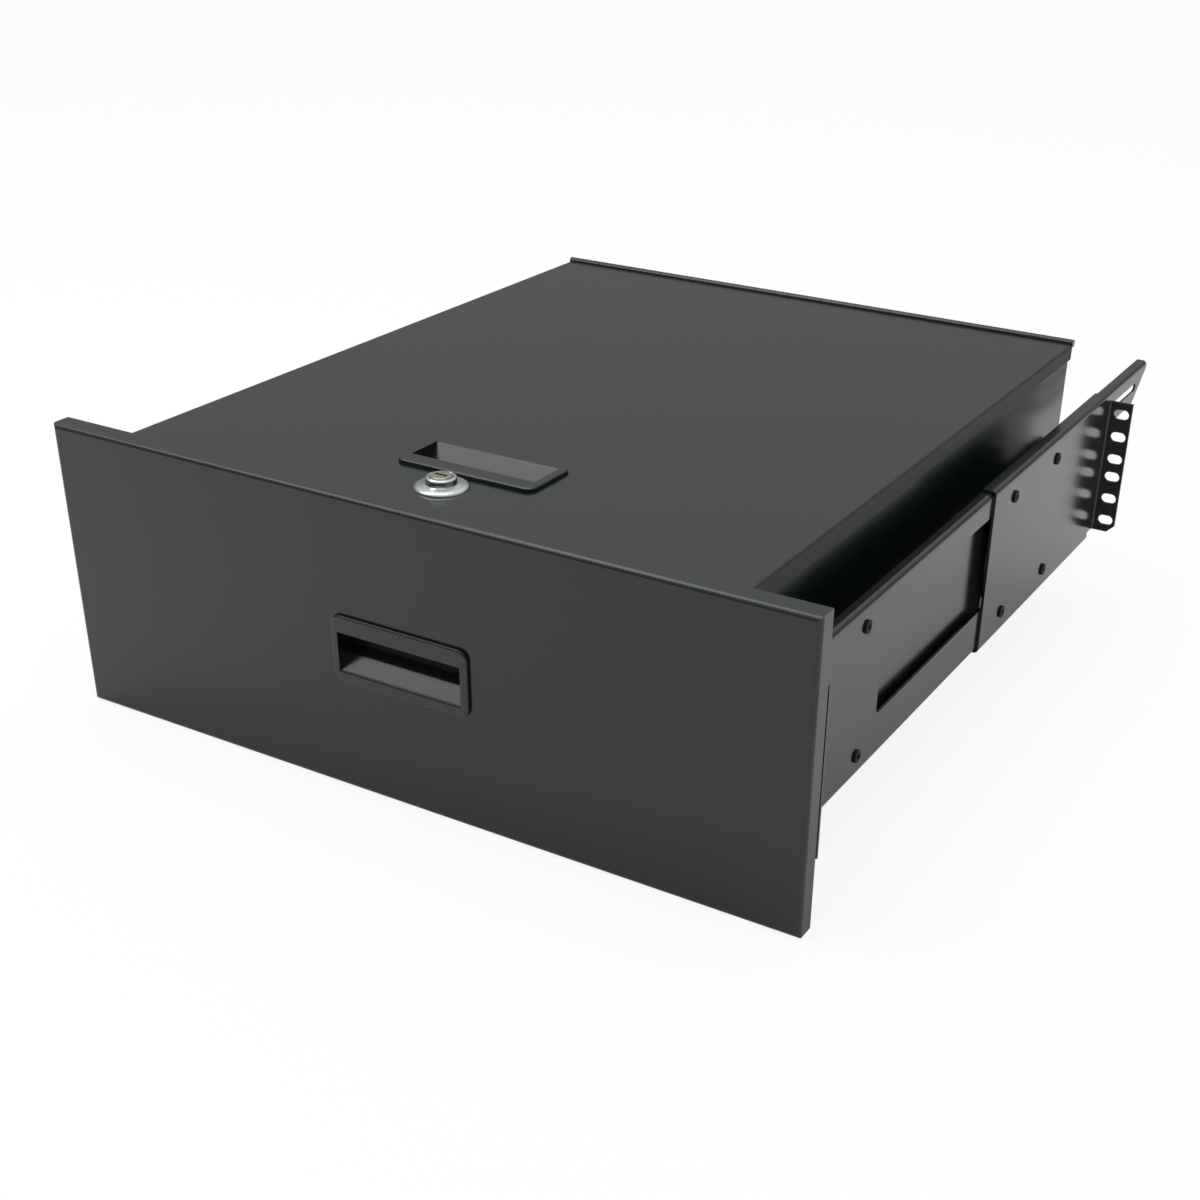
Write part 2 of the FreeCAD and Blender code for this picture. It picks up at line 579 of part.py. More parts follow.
# Lid: one sheet with its sides turned down, the lock and a pull near its front edge
LID_BOTTOM = LID_TOP - LID_FLANGE
lid_line = [(-LID_X, LID_BOTTOM), (-LID_X, LID_TOP), (LID_X, LID_TOP), (LID_X, LID_BOTTOM)]
lid_sheet = folded("y", lid_line, -LID_SHEET, LID_BEND, LID_FRONT, LID_REAR)
LOCK_CENTRE = (LOCK_X, LOCK_Y)
lock_hole = rod("z", LOCK_CENTRE, LOCK_BODY_DIAMETER / 2 + SCREW_HOLE_GAP, LID_UNDER, LID_TOP)
pull_hole_front = LID_PULL_Y - PULL_HOLE_HIGH
pull_hole_rear = LID_PULL_Y - PULL_HOLE_LOW
lid_pull_hole = pull_hole("z", pull_hole_front, pull_hole_rear, LID_UNDER, LID_TOP)
save("lid_panel", lid_sheet.cut([lock_hole, lid_pull_hole] + lid_leaf_holes))

lid_pull = recessed_pull()
lid_pull.rotate(V(0, 0, 0), V(1, 0, 0), -QUARTER_TURN)
lid_pull.rotate(V(0, 0, 0), V(0, 0, 1), 2 * QUARTER_TURN)
lid_pull.translate(V(0, LID_PULL_Y, LID_TOP))
save("lid_pull", lid_pull)


# Continuous hinge along the rear edge: its barrel stands proud of the lid, one leaf goes
# down the rear wall and the other forwards under the lid
HINGE_END = LID_X
HINGE_AXIS = (HINGE_Y, HINGE_Z)
KNUCKLE_PITCH = 2 * HINGE_END / HINGE_KNUCKLES
KNUCKLE_ROOM = KNUCKLE_RADIUS + HINGE_KNUCKLE_GAP
LEAF_X = LID_X - LID_SHEET - LID_BEND - LID_SEAT_GAP


def hinge_leaf(first, leaf, holes):
    """Leaf whose own knuckles are every second one, counted from the given one."""
    spare = HINGE_KNUCKLE_GAP / 2
    own = []
    room = []
    for index in range(HINGE_KNUCKLES):
        start = -HINGE_END + index * KNUCKLE_PITCH
        end = start + KNUCKLE_PITCH
        if index % 2 == first:
            own.append(rod("x", HINGE_AXIS, KNUCKLE_RADIUS, start + spare, end - spare))
        else:
            room.append(block(start - spare, end + spare, HINGE_Y - KNUCKLE_ROOM, HINGE_Y + KNUCKLE_ROOM,
                              HINGE_Z - KNUCKLE_ROOM, HINGE_Z + KNUCKLE_ROOM))
    bore = rod("x", HINGE_AXIS, HINGE_PIN_DIAMETER / 2 + HINGE_PIN_GAP, -HINGE_END, HINGE_END)
    return joined(leaf.cut(room + holes), *own).cut(bore)


box_leaf = block(-LEAF_X, LEAF_X, BOX_REAR, BOX_LEAF_FACE, HINGE_Z - BOX_LEAF_HEIGHT, HINGE_Z)
lid_leaf = block(-LEAF_X, LEAF_X, LID_LEAF_FRONT, HINGE_Y, LID_LEAF_UNDER, LID_UNDER)
save("hinge_box_leaf", hinge_leaf(0, box_leaf, box_leaf_holes))
save("hinge_lid_leaf", hinge_leaf(1, lid_leaf, lid_leaf_holes))
save("hinge_pin", rod("x", HINGE_AXIS, HINGE_PIN_DIAMETER / 2, -HINGE_END, HINGE_END))

box_leaf_grip = HINGE_LEAF_SHEET + BOX_SHEET
lid_leaf_grip = HINGE_LEAF_SHEET + LID_SHEET
save("hinge_box_rivets", *[rivet("y", place, BOX_LEAF_FACE, 1, box_leaf_grip, RIVET_HEAD_HEIGHT)
                           for place in box_leaf_places])
save("hinge_lid_rivets", *[rivet("z", place, LID_LEAF_UNDER, -1, lid_leaf_grip, 0)
                           for place in lid_leaf_places])


# Cam lock: collar and body in the lid, plug and cam turning in it, keeper on the front wall
def body_bar(start, end):
    """Threaded body with two flats."""
    bar = rod("z", LOCK_CENTRE, LOCK_BODY_DIAMETER / 2, start, end)
    half = LOCK_BODY_FLATS / 2
    wide = LOCK_BODY_DIAMETER
    flats = block(LOCK_X - wide, LOCK_X + wide, LOCK_Y - half, LOCK_Y + half, start, end)
    return bar.common(flats)


COLLAR_TOP = LID_TOP + LOCK_COLLAR_HEIGHT
HUB_TOP = COLLAR_TOP + LOCK_HUB_HEIGHT
collar = rod("z", LOCK_CENTRE, LOCK_COLLAR_DIAMETER / 2, LID_TOP, COLLAR_TOP)
collar = rounded(collar, LOCK_COLLAR_HEIGHT / 2, lambda b: is_at(b.ZMin, b.ZMax, COLLAR_TOP))
hub = rod("z", LOCK_CENTRE, LOCK_HUB_DIAMETER / 2, COLLAR_TOP, HUB_TOP)
hub = rounded(hub, LOCK_HUB_EDGE, lambda b: is_at(b.ZMin, b.ZMax, HUB_TOP))
plug_bore = rod("z", LOCK_CENTRE, PLUG_DIAMETER / 2 + PLUG_GAP, LOCK_BODY_BOTTOM, HUB_TOP)
save("lock_housing", joined(collar, hub, body_bar(LOCK_BODY_BOTTOM, LID_TOP)).cut(plug_bore))

lock_nut = hexagon("z", LOCK_CENTRE, LOCK_NUT_FLATS, LID_UNDER - LOCK_NUT_HEIGHT, LID_UNDER)
save("lock_nut", lock_nut.cut(body_bar(LID_UNDER - LOCK_NUT_HEIGHT, LID_UNDER)))

PLUG_TOP = HUB_TOP + PLUG_HEIGHT
plug = rod("z", LOCK_CENTRE, PLUG_DIAMETER / 2, CAM_TOP, PLUG_TOP)
plug = rounded(plug, PLUG_HEIGHT / 2, lambda b: is_at(b.ZMin, b.ZMax, PLUG_TOP))
keyway = block(LOCK_X - KEYWAY_LENGTH / 2, LOCK_X + KEYWAY_LENGTH / 2, LOCK_Y - KEYWAY_WIDTH / 2,
               LOCK_Y + KEYWAY_WIDTH / 2, PLUG_TOP - KEYWAY_DEPTH, PLUG_TOP)


def square_shank(bottom, top):
    half = CAM_SQUARE / 2
    return block(LOCK_X - half, LOCK_X + half, LOCK_Y - half, LOCK_Y + half, bottom, top)


save("lock_plug", joined(plug.cut(keyway), square_shank(CAM_BOTTOM, CAM_TOP)))

cam_middle = (LOCK_X + CAM_REACH / 2, LOCK_Y)
lock_cam = obround("z", cam_middle, CAM_REACH + CAM_WIDTH, CAM_WIDTH, 0, CAM_BOTTOM, CAM_TOP)
save("lock_cam", lock_cam.cut(square_shank(CAM_BOTTOM, CAM_TOP)))
cam_nut = hexagon("z", LOCK_CENTRE, CAM_SCREW_HEAD, CAM_BOTTOM - CAM_SCREW_HEIGHT, CAM_BOTTOM)
save("lock_cam_nut", cam_nut)

keeper_line = [(FRONT_WALL_INSIDE, KEEPER_BOTTOM + KEEPER_HEIGHT), (FRONT_WALL_INSIDE, KEEPER_BOTTOM),
               (FRONT_WALL_INSIDE + KEEPER_DEPTH, KEEPER_BOTTOM)]
KEEPER_SIDE = KEEPER_WIDTH / 2
KEEPER_FACE = FRONT_WALL_INSIDE + KEEPER_SHEET
lock_keeper = folded("x", keeper_line, KEEPER_SHEET, BOX_BEND, LOCK_X - KEEPER_SIDE, LOCK_X + KEEPER_SIDE)
through_keeper = [rivet_hole("y", place, FRONT_WALL_INSIDE, KEEPER_FACE) for place in keeper_places]
save("lock_keeper", lock_keeper.cut(through_keeper))
keeper_grip = KEEPER_SHEET + BOX_SHEET
keeper_rivets = [rivet("y", place, KEEPER_FACE, 1, keeper_grip, RIVET_HEAD_HEIGHT) for place in keeper_places]
save("keeper_rivets", *keeper_rivets)


# Front rails: shallow channels with a rack ear at the front, a window, and a slotted arm
HOLE_X = HOLE_SPAN / 2
HOLE_HEIGHTS = sorted(row * side for row in HOLE_ROWS for side in (1, -1))
EAR_TOP = RAIL_TOP - RAIL_SHEET - RAIL_BEND
EAR_LEG = RAIL_FLANGE + RAIL_BEND
SCREW_HOLE = SCREW_DIAMETER + 2 * SCREW_HOLE_GAP


def rack_holes(face):
    return [obround("y", (HOLE_X, z), HOLE_LENGTH, HOLE_WIDTH, 0, face - RAIL_SHEET, face)
            for z in HOLE_HEIGHTS]


def channel(outer_x, top, flange, start, end):
    line = [(outer_x - flange, top), (outer_x, top), (outer_x, -top), (outer_x - flange, -top)]
    return folded("y", line, -RAIL_SHEET, RAIL_BEND, start, end)


ear_line = [(PANEL_SIDE, 0), (RAIL_X, 0), (RAIL_X, EAR_LEG)]
rail_ear = folded("z", ear_line, RAIL_SHEET, RAIL_BEND, -EAR_TOP, EAR_TOP)
rail_channel = channel(RAIL_X, RAIL_TOP, RAIL_FLANGE, EAR_LEG, RAIL_REAR)
TAIL_REAR = RAIL_REAR + TAIL_LENGTH
TAIL_BOTTOM = RAIL_TOP - TAIL_HEIGHT
arm_line = [(RAIL_X - RAIL_FLANGE, RAIL_TOP), (RAIL_X, RAIL_TOP), (RAIL_X, TAIL_BOTTOM)]
rail_arm = folded("y", arm_line, -RAIL_SHEET, RAIL_BEND, RAIL_REAR, TAIL_REAR)
arm_corner = prism("x", [(TAIL_REAR, TAIL_BOTTOM), (TAIL_REAR - TAIL_CUT, TAIL_BOTTOM),
                         (TAIL_REAR, TAIL_BOTTOM + TAIL_CUT_RISE)], RAIL_INNER_X, RAIL_X)
arm_slot_y = TAIL_REAR - TAIL_SLOT_TO_END - TAIL_SLOT_LENGTH / 2
arm_slot = obround("x", (arm_slot_y, ROW_HEIGHT), TAIL_SLOT_LENGTH, SCREW_HOLE, 0, RAIL_INNER_X, RAIL_X)
window = block(RAIL_INNER_X, RAIL_X, WINDOW_FRONT, WINDOW_REAR, WINDOW_BOTTOM, WINDOW_TOP)
window = rounded(window, WINDOW_CORNER, lambda b: b.XMax - b.XMin > RAIL_SHEET - TOLERANCE)
adjust_span = BRACKET_FORWARD + BRACKET_BACKWARD
adjust_shift = (BRACKET_BACKWARD - BRACKET_FORWARD) / 2
ROWS = (ROW_HEIGHT, -ROW_HEIGHT)
bracket_places = [(y, z) for y in BRACKET_SCREW_Y for z in ROWS]
carrier_places = [(FRONT_SCREW_Y, z) for z in ROWS]
adjust_slots = [obround("x", (y + adjust_shift, z), adjust_span + SCREW_HOLE, SCREW_HOLE, 0,
                        RAIL_INNER_X, RAIL_X) for y, z in bracket_places]
CARRIER_FACE = RAIL_INNER_X - CARRIER_SHEET
carrier_holes = [rod("x", place, SCREW_DIAMETER / 2, CARRIER_FACE, RAIL_X) for place in carrier_places]
front_rail = joined(rail_ear, rail_channel, rail_arm)
front_rail = front_rail.cut(rack_holes(0) + adjust_slots + carrier_holes + [window, arm_slot, arm_corner])
both_sides("front_rail", front_rail)


# Rear brackets: channels that slide on the rails and carry the rear rack flanges
BRACKET_FLANGE = RAIL_FLANGE + RAIL_SHEET
REAR_EAR_TOP = REAR_EAR_HEIGHT / 2
ear_front = BRACKET_FACE - RAIL_SHEET
bracket_line = [(REAR_EAR_SIDE, ear_front), (BRACKET_X, ear_front), (BRACKET_X, ear_front - EAR_LEG)]
bracket_ear = folded("z", bracket_line, -RAIL_SHEET, RAIL_BEND, -REAR_EAR_TOP, REAR_EAR_TOP)
ear_corner = prism("y", [(REAR_EAR_SIDE, -REAR_EAR_TOP), (REAR_EAR_SIDE - BRACKET_CORNER, -REAR_EAR_TOP),
                         (REAR_EAR_SIDE, -REAR_EAR_TOP + BRACKET_CORNER)], ear_front, BRACKET_FACE)
bracket_channel = channel(BRACKET_X, BRACKET_TOP, BRACKET_FLANGE, BRACKET_FRONT, ear_front - EAR_LEG)
bracket_holes = [rod("x", place, SCREW_DIAMETER / 2, BRACKET_INNER_X, BRACKET_X)
                 for place in bracket_places]
rear_bracket = joined(bracket_ear, bracket_channel)
rear_bracket = rear_bracket.cut(rack_holes(BRACKET_FACE) + bracket_holes + [ear_corner])
both_sides("rear_bracket", rear_bracket)

RAIL_SCREW = (SCREW_HEAD_DIAMETER, SCREW_HEAD_HEIGHT, SCREW_DIAMETER, SCREW_SOCKET)
bracket_grip = 2 * RAIL_SHEET + NUT_HEIGHT
bracket_screws = [screw("x", place, BRACKET_X, 1, bracket_grip, RAIL_SCREW) for place in bracket_places]
both_sides("bracket_screws", *bracket_screws)
bracket_nuts = [nut("x", place, NUT_ACROSS_FLATS, SCREW_DIAMETER, RAIL_INNER_X - NUT_HEIGHT, RAIL_INNER_X)
                for place in bracket_places]
both_sides("bracket_nuts", *bracket_nuts)


# Slide carriers: joggled straps between the rails and the slides
def carrier(foot, foot_end_near_pad, pad_end, foot_half):
    """Foot flat on the rail, a joggle inwards, then a pad at the slide's back."""
    way = 1 if pad_end > foot_end_near_pad else -1
    far_foot = foot[0] if way > 0 else foot[1]
    line = [(RAIL_INNER_X, far_foot), (RAIL_INNER_X, foot_end_near_pad),
            (CARRIER_X, foot_end_near_pad + way * CARRIER_JOGGLE_LENGTH), (CARRIER_X, pad_end)]
    strap = folded("z", line, way * CARRIER_SHEET, CARRIER_BEND, -foot_half, foot_half)
    low, high = sorted((foot_end_near_pad, pad_end))
    pad_half = CARRIER_HEIGHT / 2
    pad = block(CARRIER_INNER_X, RAIL_INNER_X, low, high, -pad_half, pad_half)
    foot_part = block(CARRIER_FACE, RAIL_INNER_X, *foot, -foot_half, foot_half)
    return strap.common(joined(pad, foot_part))


def pad_rivet_holes(places):
    return [rivet_hole("x", (y, 0), CARRIER_INNER_X - SLIDE_SHEET, CARRIER_X) for y in places]


front_foot_half = CARRIER_FOOT_HEIGHT / 2
front_carrier = carrier(FRONT_CARRIER_FOOT, FRONT_CARRIER_FOOT[1], FRONT_CARRIER_END, front_foot_half)
both_sides("front_carrier", front_carrier.cut(carrier_holes + pad_rivet_holes(CARRIER_RIVETS_FRONT)))
rear_carrier = carrier(REAR_CARRIER_FOOT, REAR_CARRIER_FOOT[0], REAR_CARRIER_END, CARRIER_HEIGHT / 2)
both_sides("rear_carrier", rear_carrier.cut(pad_rivet_holes(CARRIER_RIVETS_REAR)))
carrier_grip = RAIL_SHEET + CARRIER_SHEET + NUT_HEIGHT
carrier_screws = [screw("x", place, RAIL_X, 1, carrier_grip, RAIL_SCREW) for place in carrier_places]
both_sides("carrier_screws", *carrier_screws)
carrier_nuts = [nut("x", place, NUT_ACROSS_FLATS, SCREW_DIAMETER, CARRIER_FACE - NUT_HEIGHT, CARRIER_FACE)
                for place in carrier_places]
both_sides("carrier_nuts", *carrier_nuts)


# Ball-bearing slides. Sections are drawn with u from the outer member's back towards
# the box and v up, then turned round to stand between the right carrier and the box.
def at_slide(shape):
    placed = mirrored(shape)
    placed.translate(V(CARRIER_INNER_X, 0, 0))
    return placed


def member(half_line, sheet, bend, start, end):
    """Section from its upper half's line, whose mirror image makes the lower half."""
    line = half_line + [(u, -v) for u, v in reversed(half_line)]
    return folded("y", line, sheet, bend, start, end)


def trimmed(shape, from_u, to_u, low_v, high_v):
    """Cut the upper and lower lips back to where the races end."""
    lips = ((low_v, high_v), (-high_v, -low_v))
    return shape.cut([block(from_u, to_u, SLIDE_FRONT, SLIDE_REAR, low, high) for low, high in lips])


OUTER_LIP_U = OUTER_BALL_U + RACE_RADIUS + SLIDE_SHEET
INNER_LIP_U = INNER_BALL_U - RACE_RADIUS
outer_half = [(OUTER_LIP_U, OUTER_RACE_V), (OUTER_LIP_U, SLIDE_HEIGHT / 2), (0, SLIDE_HEIGHT / 2)]
outer_member = member(outer_half, SLIDE_SHEET, RACE_RADIUS, SLIDE_FRONT, SLIDE_REAR)
outer_member = trimmed(outer_member, OUTER_BALL_U, SLIDE_THICKNESS, 0, OUTER_RACE_V + LIP_TRIM)
PAD_RIVET_Y = CARRIER_RIVETS_FRONT + CARRIER_RIVETS_REAR
outer_holes = [rivet_hole("x", (y, 0), 0, SLIDE_SHEET) for y in PAD_RIVET_Y]
both_sides("slide_outer_member", at_slide(outer_member.cut(outer_holes)))

middle_half = [(MIDDLE_FLANGE_END_U, MIDDLE_TOP_V), (MIDDLE_WEB_U, MIDDLE_TOP_V)]
middle_member = member(middle_half, SLIDE_SHEET, MIDDLE_BEND, MEMBER_FRONT, MEMBER_REAR)
both_sides("slide_middle_member", at_slide(middle_member))

inner_half = [(INNER_LIP_U, INNER_RACE_V), (INNER_LIP_U, INNER_TOP_V), (SLIDE_THICKNESS, INNER_TOP_V)]
inner_member = member(inner_half, -SLIDE_SHEET, RACE_RADIUS, MEMBER_FRONT, MEMBER_REAR)
inner_member = trimmed(inner_member, 0, INNER_BALL_U, INNER_RACE_V - INNER_LIP_TRIM, SLIDE_HEIGHT / 2)
inner_holes = [rod("x", (y, 0), MEMBER_SCREW_DIAMETER / 2, 0, SLIDE_THICKNESS) for y in MEMBER_SCREW_Y]
both_sides("slide_inner_member", at_slide(inner_member.cut(inner_holes)))

ball_pitch = (CAGE_REAR - CAGE_FRONT - 2 * CAGE_EDGE) / (CAGE_BALLS - 1)
BALL_Y = [CAGE_FRONT + CAGE_EDGE + ball_pitch * index for index in range(CAGE_BALLS)]


def cage_and_balls(name, ball_u, ball_v, web_u, end_u):
    top = ball_v + CAGE_SHEET / 2
    half_line = [(end_u, top), (web_u, top)]
    cage = member(half_line, CAGE_SHEET, CAGE_BEND, CAGE_FRONT, CAGE_REAR)
    hole = BALL_RADIUS + CAGE_BALL_GAP
    cage = cage.cut([rod("z", (ball_u, y), hole, -SLIDE_HEIGHT, SLIDE_HEIGHT) for y in BALL_Y])
    both_sides(name + "_cage", at_slide(cage))
    balls = [Part.makeSphere(BALL_RADIUS, V(ball_u, y, v)) for y in BALL_Y for v in (ball_v, -ball_v)]
    both_sides(name + "_balls", *[at_slide(ball) for ball in balls])


cage_and_balls("slide_outer", OUTER_BALL_U, OUTER_RACE_V, OUTER_CAGE_U, OUTER_CAGE_END_U)
cage_and_balls("slide_inner", INNER_BALL_U, INNER_RACE_V, INNER_CAGE_U, INNER_CAGE_END_U)

bumper = block(SLIDE_SHEET, SLIDE_THICKNESS - SLIDE_SHEET, SLIDE_REAR - BUMPER_LENGTH, SLIDE_REAR,
               -BUMPER_HEIGHT / 2, BUMPER_HEIGHT / 2)
bumper = rounded(bumper, SLIDE_SHEET, lambda b: b.XMax - b.XMin > SLIDE_THICKNESS / 2)
both_sides("slide_bumper", at_slide(bumper))

pad_grip = CARRIER_SHEET + SLIDE_SHEET
pad_rivets = [rivet("x", (y, 0), CARRIER_X, 1, pad_grip, 0) for y in PAD_RIVET_Y]
both_sides("slide_rivets", *pad_rivets)
member_grip = BOX_SHEET + SLIDE_SHEET + MEMBER_SCREW_END
member_screws = [screw("x", (y, 0), WALL_X, -1, member_grip, PANEL_SCREW) for y in MEMBER_SCREW_Y]
both_sides("slide_screws", *member_screws)
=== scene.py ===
import bpy
import bmesh
import math
from mathutils import Euler, Matrix, Vector


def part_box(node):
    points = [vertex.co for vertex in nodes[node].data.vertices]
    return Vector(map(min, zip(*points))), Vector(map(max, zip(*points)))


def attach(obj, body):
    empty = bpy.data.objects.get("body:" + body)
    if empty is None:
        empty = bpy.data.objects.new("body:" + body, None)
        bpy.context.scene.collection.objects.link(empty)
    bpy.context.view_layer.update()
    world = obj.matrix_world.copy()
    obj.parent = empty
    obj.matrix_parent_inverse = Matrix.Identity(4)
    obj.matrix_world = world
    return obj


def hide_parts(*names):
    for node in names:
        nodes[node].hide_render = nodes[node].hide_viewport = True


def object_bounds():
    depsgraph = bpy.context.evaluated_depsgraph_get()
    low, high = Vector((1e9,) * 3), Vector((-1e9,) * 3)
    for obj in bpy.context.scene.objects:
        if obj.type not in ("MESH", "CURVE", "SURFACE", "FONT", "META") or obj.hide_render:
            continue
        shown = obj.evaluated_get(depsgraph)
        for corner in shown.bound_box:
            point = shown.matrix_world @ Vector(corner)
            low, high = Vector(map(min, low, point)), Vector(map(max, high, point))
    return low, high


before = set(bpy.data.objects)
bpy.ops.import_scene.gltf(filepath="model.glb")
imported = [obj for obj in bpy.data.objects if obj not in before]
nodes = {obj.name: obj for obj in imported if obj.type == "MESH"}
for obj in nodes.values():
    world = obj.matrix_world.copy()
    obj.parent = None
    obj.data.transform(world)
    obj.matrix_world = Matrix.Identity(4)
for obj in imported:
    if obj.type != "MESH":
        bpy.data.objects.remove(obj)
cad_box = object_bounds()

# The photographer's view: the drawer seen from its right front corner and from above. The
# photo is cut from a larger picture, so the lens is shifted: its axis meets the picture
# right of and below the middle.
CAMERA_PLACE = Vector((0.5257, -0.6668, 0.4224))
CAMERA_AZIMUTH = math.radians(30.02)
CAMERA_ELEVATION = math.radians(29.70)
CAMERA_ROLL = math.radians(0.95)
CAMERA_LENS = 52.27
CAMERA_SENSOR = 36
CAMERA_SHIFT = (-0.0352, 0.1243)
CAMERA_NEAREST = 0.01

camera_data = bpy.data.cameras.new("camera")
camera_data.lens = CAMERA_LENS
camera_data.sensor_width = CAMERA_SENSOR
camera_data.shift_x, camera_data.shift_y = CAMERA_SHIFT
camera_data.clip_start = CAMERA_NEAREST
camera = bpy.data.objects.new("camera", camera_data)
turn = Euler((math.pi / 2 - CAMERA_ELEVATION, 0, CAMERA_AZIMUTH)).to_matrix()
roll = Matrix.Rotation(CAMERA_ROLL, 3, "Z")
camera.matrix_world = Matrix.Translation(CAMERA_PLACE) @ (turn @ roll).to_4x4()
bpy.context.collection.objects.link(camera)
bpy.context.scene.camera = camera
bpy.context.scene.view_settings.view_transform = "Standard"


# A white photographer's tent, dimmer low down than overhead. The black paint shows mostly
# what it reflects, so the tent's own shading sets the drawer's tones, and the lamps only
# lift the sides that face them: one over the top and one at the left front.
def add_node(tree, kind, settings=None, inputs=None):
    """Add a node, set its own settings, then link or set its inputs."""
    made = tree.nodes.new(kind)
    for name, value in (settings or {}).items():
        setattr(made, name, value)
    for name, value in (inputs or {}).items():
        if isinstance(value, bpy.types.NodeSocket):
            tree.links.new(value, made.inputs[name])
        else:
            made.inputs[name].default_value = value
    return made


def linear(hex_colour):
    """A colour written as sRGB hex, as the linear values that the sockets take."""
    channels = [int(hex_colour[i:i + 2], 16) / 255 for i in (0, 2, 4)]
    turned = [c / 12.92 if c <= 0.04045 else ((c + 0.055) / 1.055) ** 2.4 for c in channels]
    return (*turned, 1.0)


OBJECT_MIDDLE = Vector((0, 0.2, 0))
LAMPS = (("lamp_top", (-0.3, 0.1, 1.9), 1.4, 12),       # name, place, width and watts
         ("lamp_left_front", (-1.06, -0.5, 1.55), 1.0, 6.5))
for name, place, width, watts in LAMPS:
    lamp_data = bpy.data.lights.new(name, "AREA")
    lamp_data.size = width
    lamp_data.energy = watts
    lamp = bpy.data.objects.new(name, lamp_data)
    lamp.location = place
    lamp.rotation_euler = (OBJECT_MIDDLE - lamp.location).to_track_quat("-Z", "Y").to_euler()
    bpy.context.collection.objects.link(lamp)

WHITE = "ffffff"
TENT_LOW = 0.30
TENT_HIGH = 0.95
TENT_RISE = (0.18, 0.75)    # the sine of the height at which the tent starts and ends to brighten
world = bpy.data.worlds.new("tent")
bpy.context.scene.world = world
world.use_nodes = True
tree = world.node_tree
tree.nodes.clear()
rays = add_node(tree, "ShaderNodeLightPath")
way = add_node(tree, "ShaderNodeTexCoord")
height = add_node(tree, "ShaderNodeSeparateXYZ", None, {0: way.outputs["Generated"]})
shade = add_node(tree, "ShaderNodeMapRange", {"interpolation_type": "SMOOTHSTEP"},
                 {"Value": height.outputs["Z"], "From Min": TENT_RISE[0], "From Max": TENT_RISE[1],
                  "To Min": TENT_LOW, "To Max": TENT_HIGH})
tent = add_node(tree, "ShaderNodeBackground", None, {"Color": linear(WHITE), "Strength": shade.outputs[0]})
backdrop = add_node(tree, "ShaderNodeBackground", None, {"Color": linear(WHITE), "Strength": 1.0})
seen = add_node(tree, "ShaderNodeMixShader", None,
                {0: rays.outputs["Is Camera Ray"], 1: tent.outputs[0], 2: backdrop.outputs[0]})
add_node(tree, "ShaderNodeOutputWorld", None, {"Surface": seen.outputs[0]})


# White card under the drawer. The camera sees it most of the way to pure white, so that the
# drawer's shadow stays as faint as in the photo.
def new_object(name, shape):
    """A finished bmesh as an object at the origin."""
    mesh = bpy.data.meshes.new(name)
    shape.to_mesh(mesh)
    shape.free()
    made = bpy.data.objects.new(name, mesh)
    bpy.context.collection.objects.link(made)
    return made


def new_material(name):
    """An empty material and its node tree."""
    material = bpy.data.materials.new(name)
    material.use_nodes = True
    material.node_tree.nodes.clear()
    return material, material.node_tree


CARD_WHITE = "f2f2f0"
CARD_WHITENING = 0.88
FLOOR_DROP = 0.0005         # keeps the card clear of the panel's low edge
FLOOR_SIZE = 12.0
floor_shape = bmesh.new()
floor_place = Matrix.Translation((0, 0, cad_box[0][2] - FLOOR_DROP))
bmesh.ops.create_grid(floor_shape, x_segments=1, y_segments=1, size=FLOOR_SIZE / 2, matrix=floor_place)
floor = new_object("floor", floor_shape)
floor_material, tree = new_material("white_card")
card = add_node(tree, "ShaderNodeBsdfPrincipled", None,
                {"Base Color": linear(CARD_WHITE), "Roughness": 0.9, "Specular IOR Level": 0.0})
glow = add_node(tree, "ShaderNodeEmission", None, {"Color": linear(WHITE), "Strength": 1.0})
rays = add_node(tree, "ShaderNodeLightPath")
whitening = add_node(tree, "ShaderNodeMath", {"operation": "MULTIPLY"},
                     {0: rays.outputs["Is Camera Ray"], 1: CARD_WHITENING})
card_seen = add_node(tree, "ShaderNodeMixShader", None,
                     {0: whitening.outputs[0], 1: card.outputs[0], 2: glow.outputs[0]})
add_node(tree, "ShaderNodeOutputMaterial", None, {"Surface": card_seen.outputs[0]})
floor.data.materials.append(floor_material)


# Front panel, drawer box, lid and hinge leaves: cold-rolled sheet, folded, then powder-
# coated black and baked. The cured powder gives a semi-gloss skin with a fine orange peel,
# and broad, very slight waves where the sheet itself isn't quite flat.
MILLIMETRE = 0.001
COAT_BLACK = "0e1a16"
COAT_IOR = 1.5
COAT_GLOSS = (0.15, 0.18)           # roughness where the gloss is highest and lowest
COAT_PEEL = 1.1 * MILLIMETRE        # from crest to crest of the orange peel
COAT_PEEL_HEIGHT = 0.003 * MILLIMETRE
SHEET_WAVE = 90 * MILLIMETRE
SHEET_WAVE_HEIGHT = 0.05 * MILLIMETRE
NOISE_SPREAD = (0.3, 0.7)           # between these lie nearly all of a noise's values
LID_SIDE_HAZE = 0.4                 # roughness added on faces that look sideways, as the photo shows
BOX_SIDE_HAZE = 0.03
COATED = (("black_powder_coat", 0.0,
           ("front_panel", "box_rear_wall", "hinge_box_leaf", "hinge_lid_leaf", "hinge_lid_rivets")),
          ("black_powder_coat_box", BOX_SIDE_HAZE, ("box_tray", "box_front_wall", "lock_keeper")),
          ("black_powder_coat_lid", LID_SIDE_HAZE, ("lid_panel",)))


def dress(material, *names):
    """Give CAD nodes their finish; a name ending in a star stands for both sides."""
    for name in names:
        sides = [name[:-1] + "left", name[:-1] + "right"] if name.endswith("*") else [name]
        for side in sides:
            slots = nodes[side].data.materials
            slots.clear()
            slots.append(material)


